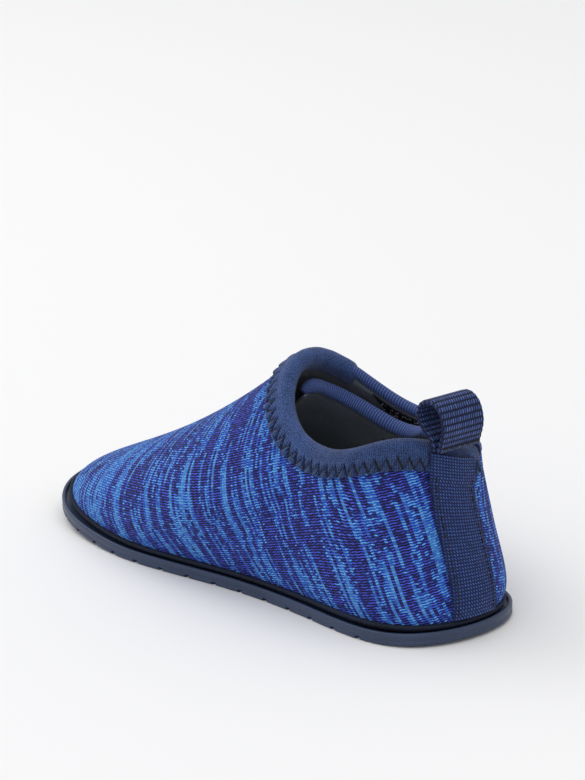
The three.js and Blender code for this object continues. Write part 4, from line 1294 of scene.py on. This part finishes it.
    def frame_stitch(self, body: Body, top: float, margin: float) -> list[tuple[Array, Array]]:
        """Stitches round a tape's frame: on the flap's face, or sunk on the quarter's inside."""
        upper, last = self.upper, self.upper.last
        corner = [(0, 0), (1, 0), (1, 1), (0, 1), (0, 0)]
        runs = []
        for (u0, w0), (u1, w1) in zip(corner, corner[1:]):
            count = 12 if w0 == w1 else 6
            for k in range(count):
                q = (k + np.linspace(0.1, 0.86, 5)) / count
                t, v = self.region(lerp(u0, u1, q), lerp(w0, w1, q), top, margin)
                normal = last.normal(t, v)
                if body is Body.FLAP:
                    sink, facing = np.full_like(t, -0.02), 1
                else:
                    sink, facing = upper.quarter_sink(t, v) + upper.build.thick + 0.05, -1
                runs.append((last.surface(t, v) - normal * sink[:, None], normal * facing))
        return runs


@dataclass
class HeelTape:
    """The woven tape up the heel, its edge stitching, and the seam it covers."""

    upper: Upper
    width: float = 13.7
    thick: float = 1.0
    top_drop: float = 2.4
    low: float = 0.125
    stitch_inset: float = 1.3
    stitches: int = 18  # down each edge
    seam_turns: int = 44  # of the zigzag inside the heel seam

    def base(self, t: Array, v: Array) -> Array:
        """The tape lies on the knit, then steps up over the collar binding."""
        build, last = self.upper.build, self.upper.last
        foot, top = (last.drop(t, build.binding_drop + below) for below in (3.5, 0.8))
        return build.gap + (build.binding_leg + build.gap) * smooth(0, 1, (v - foot) / (top - foot))

    def make(self, webbing: bpy.types.Material, thread: bpy.types.Material) -> None:
        """Builds the tape and every row of thread on it."""
        last, build = self.upper.last, self.upper.build
        w, u = np.meshgrid(np.linspace(0, 1, 150), np.linspace(-1, 1, 45), indexing="ij")
        t = last.heel_at(-u * self.width / 2, lerp(self.low, 1, w))
        v = lerp(self.low, last.drop(t, self.top_drop), w)
        height = self.base(t, v)
        place, normal = last.surface(t, v), last.normal(t, v)
        # a raised selvedge down each edge, and a slight crown between
        edge = smooth(0.9, 0.97, np.abs(u)) * 0.12 - smooth(0.975, 1.0, np.abs(u)) * 0.4
        crown = 0.12 * (1 - u ** 2)
        down = length_along(place[:, place.shape[1] // 2])
        weave = 0.035 * np.sin(2 * PI * down[:, None] / 0.9)
        top = place + normal * (height + self.thick - 0.1 + edge + crown + weave)[..., None]
        under = place + normal * (height - build.gap + 0.05)[..., None]
        uv = np.stack(np.broadcast_arrays(u * self.width / 2, down[:, None]), -1)
        tape = shell("heel_webbing_tape", top, under, uv)
        Piece(tape, Body.SHOE, "navy_webbing", ("heel_tape",)).place(webbing)
        for side, name in ((1, "medial"), (-1, "lateral")):
            runs = []
            for k in range(self.stitches):
                q = (k + np.linspace(0.08, 0.8, 6)) / self.stitches
                v = lerp(0.15, last.heel_drop(build.binding_drop + 0.5), q)
                t = last.heel_at(np.full_like(v, side * (self.width / 2 - self.stitch_inset)), v)
                lift = self.base(t, v) + self.thick - 0.06
                runs.append((last.offset(t, v, lift), last.normal(t, v)))
            made = threads(f"heel_tape_thread_{name}", runs, 0.42, 0.3)
            Piece(made, Body.SHOE, "black_thread", (f"heel_tape_stitch_{name}",)).place(thread)
        count = self.seam_turns
        v = np.linspace(0.2, last.heel_drop(build.binding_inner_drop + 1), count)
        t = last.heel_at(np.where(np.arange(count) % 2, 1.0, -1.0), v)
        runs = [(last.offset(t, v, np.full(count, -build.thick - 0.35)), -last.normal(t, v))]
        made = threads("heel_seam_thread", runs, 0.45, 0.35)
        Piece(made, Body.SHOE, "black_thread", ("heel_seam_stitch",)).place(thread)


@dataclass
class PullLoop:
    """A closed teardrop of ribbed webbing standing on the heel, held by a bar tack."""

    tape: HeelTape
    webbing: float = 1.4
    height: float = 13.2
    bulge_back: float = 3.8
    bulge_front: float = 5.8
    rib: float = 1.55
    step: float = 0.14  # between sections
    tacks: int = 7

    def foot(self) -> Array:
        """Where both ends of the loop meet."""
        last, tape = self.tape.upper.last, self.tape
        y = np.array([tape.width / 2, 0.0, -tape.width / 2])
        t = last.heel_at(y, np.ones(3))
        p = last.offset(t, last.drop(t, tape.top_drop), tape.base(t, np.ones(3)) + tape.thick)
        return np.array([p[1, 0] + tape.thick, 0.0, p[:, 2].max() + tape.upper.build.gap])

    def path(self) -> Array:
        """Even points along the webbing's middle."""
        x, _, z = self.foot()
        half, gap, h = self.webbing / 2, self.tape.upper.build.gap, self.height
        back, front = x - half - 2 * gap - half, x - half + gap / 2
        middle = x - self.bulge_back + (self.bulge_back + self.bulge_front) / 2
        b, f = self.bulge_back, self.bulge_front
        knots = np.array([
            (back, z), (back - 0.7, z + 2), (x - b, z + 0.5 * h), (x - 0.6 * b, z + 0.83 * h),
            (middle, z + h - half), (x + 0.82 * f, z + 0.83 * h), (x + f, z + 0.57 * h),
            (x + 0.62 * f, z + 0.36 * h), (x + 0.18 * f, z + 0.24 * h), (front, z),
        ])
        ends = np.concatenate([[2 * knots[0] - knots[1]], knots, [2 * knots[-1] - knots[-2]]])
        line: list[Array] = []
        for p0, p1, p2, p3 in zip(ends, ends[1:], ends[2:], ends[3:]):
            a = np.sqrt(np.linalg.norm(p1 - p0))
            b1 = a + np.sqrt(np.linalg.norm(p2 - p1))
            c = b1 + np.sqrt(np.linalg.norm(p3 - p2))
            q = np.linspace(a, b1, 40)[:, None]
            a1 = (a - q) / a * p0 + q / a * p1
            a2 = (b1 - q) / (b1 - a) * p1 + (q - a) / (b1 - a) * p2
            a3 = (c - q) / (c - b1) * p2 + (q - b1) / (c - b1) * p3
            c1 = (b1 - q) / b1 * a1 + q / b1 * a2
            c2 = (c - q) / (c - a) * a2 + (q - a) / (c - a) * a3
            line.append((b1 - q) / (b1 - a) * c1 + (q - a) / (b1 - a) * c2)
        points = np.concatenate(line)
        run = length_along(points)
        even = np.arange(0, run[-1], self.step)
        return np.stack([np.interp(even, run, points[:, 0]), np.interp(even, run, points[:, 1])], -1)

    def make(self, webbing: bpy.types.Material, thread: bpy.types.Material) -> None:
        """Builds the loop with its ribs, and the bar tack at its foot."""
        line = self.path()
        ahead = np.gradient(line, axis=0)
        ahead /= np.linalg.norm(ahead, axis=1, keepdims=True)
        across = np.stack([-ahead[:, 1], ahead[:, 0]], -1)
        along = np.arange(len(line)) * self.step
        rib = 0.17 * (np.abs(np.sin(PI * along / self.rib)) ** 0.8 - 1)
        half = self.webbing / 2
        y = np.linspace(-1, 1, 37)
        round_edge = np.sqrt(np.maximum(1 - np.maximum(np.abs(y) - 0.93, 0) ** 2 / 0.07 ** 2, 0.1))
        grid = []
        for side in (1, -1):
            row = y if side > 0 else y[::-1]
            size = round_edge if side > 0 else round_edge[::-1]
            depth = side * (half * size[None, :] + rib[:, None] * size[None, :])
            width = self.tape.width / 2 + 0.5 * rib[:, None] * (np.abs(row) > 0.95)[None, :]
            x = line[:, 0, None] + across[:, 0, None] * depth
            z = line[:, 1, None] + across[:, 1, None] * depth
            grid.append(np.stack([x, np.broadcast_to(row[None, :] * width, x.shape), z], -1))
        sections = np.concatenate(grid, 1)
        across_uv = np.concatenate([y, y[::-1]]) * self.tape.width / 2
        uv = np.stack(np.broadcast_arrays(across_uv[None, :], along[:, None]), -1)
        loop = swept("pull_loop_webbing", sections, uv=uv)
        Piece(loop, Body.PULL, "navy_webbing", ("pull_loop",)).place(webbing)
        x, _, z = self.foot()
        face = x - 2 * self.webbing - 2 * self.tape.upper.build.gap + 0.05
        runs = []
        for k in range(self.tacks):
            y0 = lerp(-1, 1, k / self.tacks) * (self.tape.width / 2 - 0.9)
            y1 = y0 + 1.35
            q = np.linspace(0, 1, 6)
            points = [np.full(6, face) - 0.12 * np.sin(PI * q), lerp(y0, y1, q), z + 1.0 + 0.35 * (q - 0.5)]
            runs.append((np.stack(points, -1), np.tile([-1.0, 0.0, 0.0], (6, 1))))
        tack = threads("pull_loop_bar_tack", runs, 0.62, 0.4)
        Piece(tack, Body.PULL, "black_thread", ("pull_loop_tack",)).place(thread)


@dataclass
class Sole:
    """The moulded outsole tray, the cloth rand inside its lip, and the insole board."""

    upper: Upper
    wall: float = 3.4
    lip: float = 1.0
    edge: float = 0.5
    groove_pitch: float = 9.0
    groove_width: float = 1.6
    groove_depth: float = 1.0
    board_bottom: float = 3.0
    board_thick: float = 1.1
    overlocks: int = 150
    rand_low: float = 0.035
    rand_high: float = 0.095
    rand_thick: float = 0.6

    def make(self, rubber: bpy.types.Material, cloth: bpy.types.Material, board: bpy.types.Material,
             thread: bpy.types.Material) -> None:
        """Builds every piece of the sole."""
        self.outsole(rubber)
        last, gap = self.upper.last, self.upper.build.gap
        t = np.linspace(0, 2 * PI, 720, endpoint=False)
        rings = []
        face = gap + self.rand_thick
        for v, n in ((self.rand_low, 0.05), (self.rand_low, gap + 0.4), (0.05, face), (0.07, face + 0.1),
                     (0.09, face), (self.rand_high, gap + 0.35), (self.rand_high, 0.05)):
            wave = 0.06 * np.sin(t * 210) if n > gap else 0.0
            rings.append(last.offset(t, np.full_like(t, v), np.full_like(t, n) + wave))
        rand = swept("rand_cloth_tape", np.stack(rings, 1), closed=True)
        Piece(rand, Body.SHOE, "rand_cloth", ("rand_tape",)).place(cloth)
        inset = last.feather_inset + self.upper.build.thick + gap
        self.slab("insole_fibre_board", inset, self.board_bottom, self.board_thick, board)
        runs = []
        low = self.board_bottom + self.board_thick + 0.02
        for k in range(self.overlocks):
            centre = 2 * PI * k / self.overlocks
            q = np.linspace(0, 1, 6)
            tt = centre + (q - 0.5) * 0.03
            p = last.plate(tt, inset - 0.1 + 1.5 * q, low + 0.25 * np.sin(PI * q))
            runs.append((p, np.tile([0.0, 0.0, 1.0], (6, 1))))
        made = threads("insole_overlock_thread", runs, 0.4, 0.3, corners=5)
        Piece(made, Body.SHOE, "black_thread", ("insole_stitching",)).place(thread)

    def slab(self, name: str, inset: float, bottom: float, thick: float, finish: bpy.types.Material) -> None:
        """A flat board that follows the sole's outline and bend.

        Args:
            name: The piece's name.
            inset: Distance inside the outline.
            bottom: Height of its underside over the outsole's.
            thick: Its thickness.
            finish: Its material.
        """
        made = self.stack(name, 200, 40, 1)
        self.shape(made, lambda layer: (inset, bottom + thick * layer))
        modifier = made.modifiers.new("edge", "BEVEL")
        modifier.width, modifier.segments, modifier.angle_limit = 0.25 * MM, 2, 0.9
        bpy.ops.object.modifier_apply(modifier=modifier.name)
        bpy.ops.object.shade_smooth_by_angle(angle=0.6)
        Piece(made, Body.SHOE, "board", ("insole_board",)).place(finish)

    def stack(self, name: str, corners: int, strips: int, layers: int) -> bpy.types.Object:
        """Extrudes a unit disc in layers one unit high.

        Args:
            name: The piece's name.
            corners: Corners of the disc.
            strips: How many strips it is cut across into, so that it can bend with the sole.
            layers: How many times it is extruded.

        Returns:
            The stack, to be shaped afterwards.
        """
        unselect()
        bpy.ops.mesh.primitive_circle_add(vertices=corners, radius=1, fill_type="NGON")
        made = bpy.context.object
        made.name = made.data.name = name
        bpy.ops.object.mode_set(mode="EDIT")
        for k in range(1, strips):
            bpy.ops.mesh.select_all(action="SELECT")
            bpy.ops.mesh.bisect(plane_co=(2 * k / strips - 1, 0, 0), plane_no=(1, 0, 0))
        bpy.ops.mesh.select_all(action="SELECT")
        for _ in range(layers):
            bpy.ops.mesh.extrude_region_move(TRANSFORM_OT_translate={"value": (0, 0, 1)})
        bpy.ops.object.mode_set(mode="OBJECT")
        return made

    def shape(self, made: bpy.types.Object, level: Callable[[float], tuple[float, float]],
              bend: bool = True) -> None:
        """Moves a unit disc's corners on to the sole's outline.

        Args:
            made: A mesh whose x and y lie in the unit disc and whose z counts its rings.
            level: Gives inset and height for a ring's number.
            bend: Whether to add the toe spring.
        """
        last = self.upper.last
        corners = np.empty(len(made.data.vertices) * 3)
        made.data.vertices.foreach_get("co", corners)
        p = corners.reshape(-1, 3)
        t = np.arctan2(p[:, 1], p[:, 0])
        size = np.array([level(float(z)) for z in p[:, 2]])
        q = last.outline(t, size[:, 0])
        q[:, 2] = size[:, 1] + (last.underside(q[:, 0]) if bend else 0.0)
        made.data.vertices.foreach_set("co", (q * MM).ravel())
        made.data.update()

    def outsole(self, rubber: bpy.types.Material) -> None:
        """A shallow tray with a rolled lip, its tread cut across by straight grooves."""
        wall, lip = self.wall, self.lip
        rings = (  # inset from the outline, and height
            (self.edge, 0.0), (0.14, 0.16), (0.0, 0.5), (0.0, 1.0), (0.08, 1.12), (0.08, 1.7), (0.0, 1.82),
            (-0.02, wall - 0.6), (0.08, wall - 0.22), (0.3, wall - 0.03), (0.55, wall),
            (0.85, wall - 0.1), (lip, wall - 0.35), (lip, self.upper.last.tray_floor),
        )
        made = self.stack("outsole_rubber_tray", 360, 52, len(rings) - 1)
        self.shape(made, lambda layer: rings[round(layer)], bend=False)
        unselect()
        half = self.upper.last.half
        per_side = math.floor((half - self.groove_pitch) / self.groove_pitch)
        bars = []
        for i in range(-per_side, per_side):
            x = (i + 0.5) * self.groove_pitch
            bpy.ops.mesh.primitive_cube_add(size=1, location=(x * MM, 0, 0))
            bar = bpy.context.object
            bar.scale = (self.groove_width * MM, 0.1, 2 * self.groove_depth * MM)
            bars.append(bar)
        for bar in bars:
            bar.select_set(True)
        bpy.ops.object.join()
        cutter = bpy.context.object
        bpy.ops.object.transform_apply(location=True, rotation=True, scale=True)
        unselect()
        made.select_set(True)
        bpy.context.view_layer.objects.active = made
        modifier = made.modifiers.new("tread", "BOOLEAN")
        modifier.operation, modifier.object, modifier.solver = "DIFFERENCE", cutter, "EXACT"
        bpy.ops.object.modifier_apply(modifier=modifier.name)
        bpy.data.objects.remove(cutter)
        corners = np.empty(len(made.data.vertices) * 3)
        made.data.vertices.foreach_get("co", corners)
        p = corners.reshape(-1, 3)
        p[:, 2] += self.upper.last.underside(p[:, 0] / MM) * MM
        made.data.vertices.foreach_set("co", p.ravel())
        made.data.update()
        bpy.ops.object.shade_smooth_by_angle(angle=0.7)
        Piece(made, Body.SHOE, "sole_rubber", ("outsole",)).place(rubber)


@dataclass
class Footbed:
    """The padded footbed: a moulded foam slab under a brushed cloth cover."""

    sole: Sole
    foam_bottom: float = 5.2
    foam_thick: float = 2.0
    cover_thick: float = 0.5
    draw_in: float = 7.8  # how much further inside the outline it lies at the toe

    def rings(self, bottom: float, top: float) -> Array:
        """Rings over and under a slab, closed at its middle."""
        last, build = self.sole.upper.last, self.sole.upper.build
        side = last.feather_inset + build.thick - build.gap
        t = np.linspace(0, 2 * PI, 200, endpoint=False)
        inset = side + self.draw_in * np.maximum(np.cos(t), 0) ** 3.5
        shares = np.linspace(0.02, 1, 26)
        rows = [last.plate(t, inset, bottom, share) for share in shares]
        rows.append(last.plate(t, inset - 0.2, (bottom + top) / 2, 1.0))
        for share in shares[::-1]:
            dip = 0.5 * (1 - share ** 2)
            edge = 0.12 * smooth(0.93, 1.0, share)
            rows.append(last.plate(t, inset, top - dip * 0.6 - edge, share))
        return np.stack(rows)

    def make(self, cloth: bpy.types.Material, foam: bpy.types.Material) -> None:
        """Builds the foam and its cover."""
        low, middle = self.foam_bottom, self.foam_bottom + self.foam_thick
        gap = self.sole.upper.build.gap
        for name, bottom, top, finish, slot, node in (
            ("footbed_foam_slab", low, middle, foam, "foam", "footbed_foam"),
            ("footbed_cloth_cover", middle + gap, middle + gap + self.cover_thick, cloth, "footbed_cloth",
             "footbed_cover"),
        ):
            made = swept(name, self.rings(bottom, top))
            Piece(made, Body.SHOE, slot, (node,)).place(finish)


@dataclass
class Studio:
    """A pale floor under soft light, and the camera."""

    azimuth: float = 38.22
    elevation: float = 18.12
    distance: float = 915.05
    target: tuple[float, float, float] = (-8.07, 3.35, 50.06)
    roll: float = -1.0
    lens: float = 159.8

    def camera(self) -> None:
        """Places the camera behind the big-toe side of the heel."""
        az, el, roll = (math.radians(a) for a in (self.azimuth, self.elevation, self.roll))
        back = Vector((-math.cos(az) * math.cos(el), math.sin(az) * math.cos(el), math.sin(el)))
        right = (-back).cross(Vector((0, 0, 1))).normalized()
        up = right.cross(-back)
        tilted = right * math.cos(roll) + up * math.sin(roll)
        above = up * math.cos(roll) - right * math.sin(roll)
        data = bpy.data.cameras.new("studio_camera")
        data.lens, data.sensor_width, data.clip_start = self.lens, 36.0, 0.01
        made = bpy.data.objects.new("studio_camera", data)
        bpy.context.scene.collection.objects.link(made)
        matrix = made.matrix_world.copy()
        place = (Vector(self.target) + back * self.distance) * MM
        for row in range(3):
            matrix[row] = (tilted[row], above[row], back[row], place[row])
        made.matrix_world = matrix
        bpy.context.scene.camera = made

    def lamp(self, name: str, place: tuple[float, float, float], size: float, power: float) -> None:
        """An area light that faces the shoe.

        Args:
            name: The light's name.
            place: Its position in metres.
            size: The side of the square light.
            power: Watts.
        """
        data = bpy.data.lights.new(name, "AREA")
        data.size, data.energy = size, power
        made = bpy.data.objects.new(name, data)
        made.location = place
        made.rotation_euler = (Vector((0, 0, 0.03)) - Vector(place)).to_track_quat("-Z", "Y").to_euler()
        bpy.context.scene.collection.objects.link(made)

    def make(self) -> None:
        """Builds the floor, the world and the lights."""
        unselect()
        bpy.ops.mesh.primitive_plane_add(size=12)
        floor = bpy.context.object
        floor.name = "floor"
        paint, shader = surface_shader("pale_floor")
        shader.inputs["Base Color"].default_value = linear("#f4f4f2")
        shader.inputs["Roughness"].default_value = 0.9
        shader.inputs["Specular IOR Level"].default_value = 0.1
        floor.data.materials.append(paint)
        world = bpy.data.worlds.new("studio")
        world.use_nodes = True
        sky = world.node_tree.nodes["Background"]
        sky.inputs["Color"].default_value = linear("#fafaff")
        sky.inputs["Strength"].default_value = 0.65
        scene = bpy.context.scene
        scene.world = world
        scene.view_settings.view_transform = "Standard"
        self.lamp("overhead_softbox", (0.1, 0.2, 1.5), 2.4, 11.0)
        self.lamp("key_softbox", (-0.9, 1.2, 1.1), 1.2, 3.4)
        self.lamp("rim_softbox", (0.9, 0.3, 0.9), 0.9, 3.2)


def main() -> None:
    """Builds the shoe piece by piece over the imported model."""
    logging.basicConfig(level=logging.INFO, format="%(message)s")
    last = Last()
    build = Laminate()
    upper = Upper(last, build)
    knit, lining, thread = KnitFinish().make(), LIGHTENED_LINING_CLOTH.make(), THREAD.make()
    webbing = WebbingFinish().make()
    studio = Studio()
    studio.camera()
    studio.make()
    sole = Sole(upper)
    sole.make(SOLE_RUBBER.make(), RAND_TAPE_AND_GAP_SHADE.make(), BOARD.make(), thread)
    Footbed(sole).make(LIGHTENED_FOOTBED_CLOTH.make(), FOOTBED_FOAM.make())
    upper.make(knit, lining)
    Collar(upper).make(JerseyFinish().make(), thread)
    closure = Closure(upper)
    closure.rolls(RibFinish().make())
    closure.tapes(HOOKS.make(), HOOK_YARN_AND_GLINTS.make(), PILE.make(), thread)
    tape = HeelTape(upper)
    weave = WebbingFinish("heel_tape_weave", row=0.85, float_length=0.8, ground="#0a1440", yarn="#466cb8")
    tape.make(weave.make(), thread)
    PullLoop(tape).make(webbing, thread)


if __name__ == "__main__":
    main()
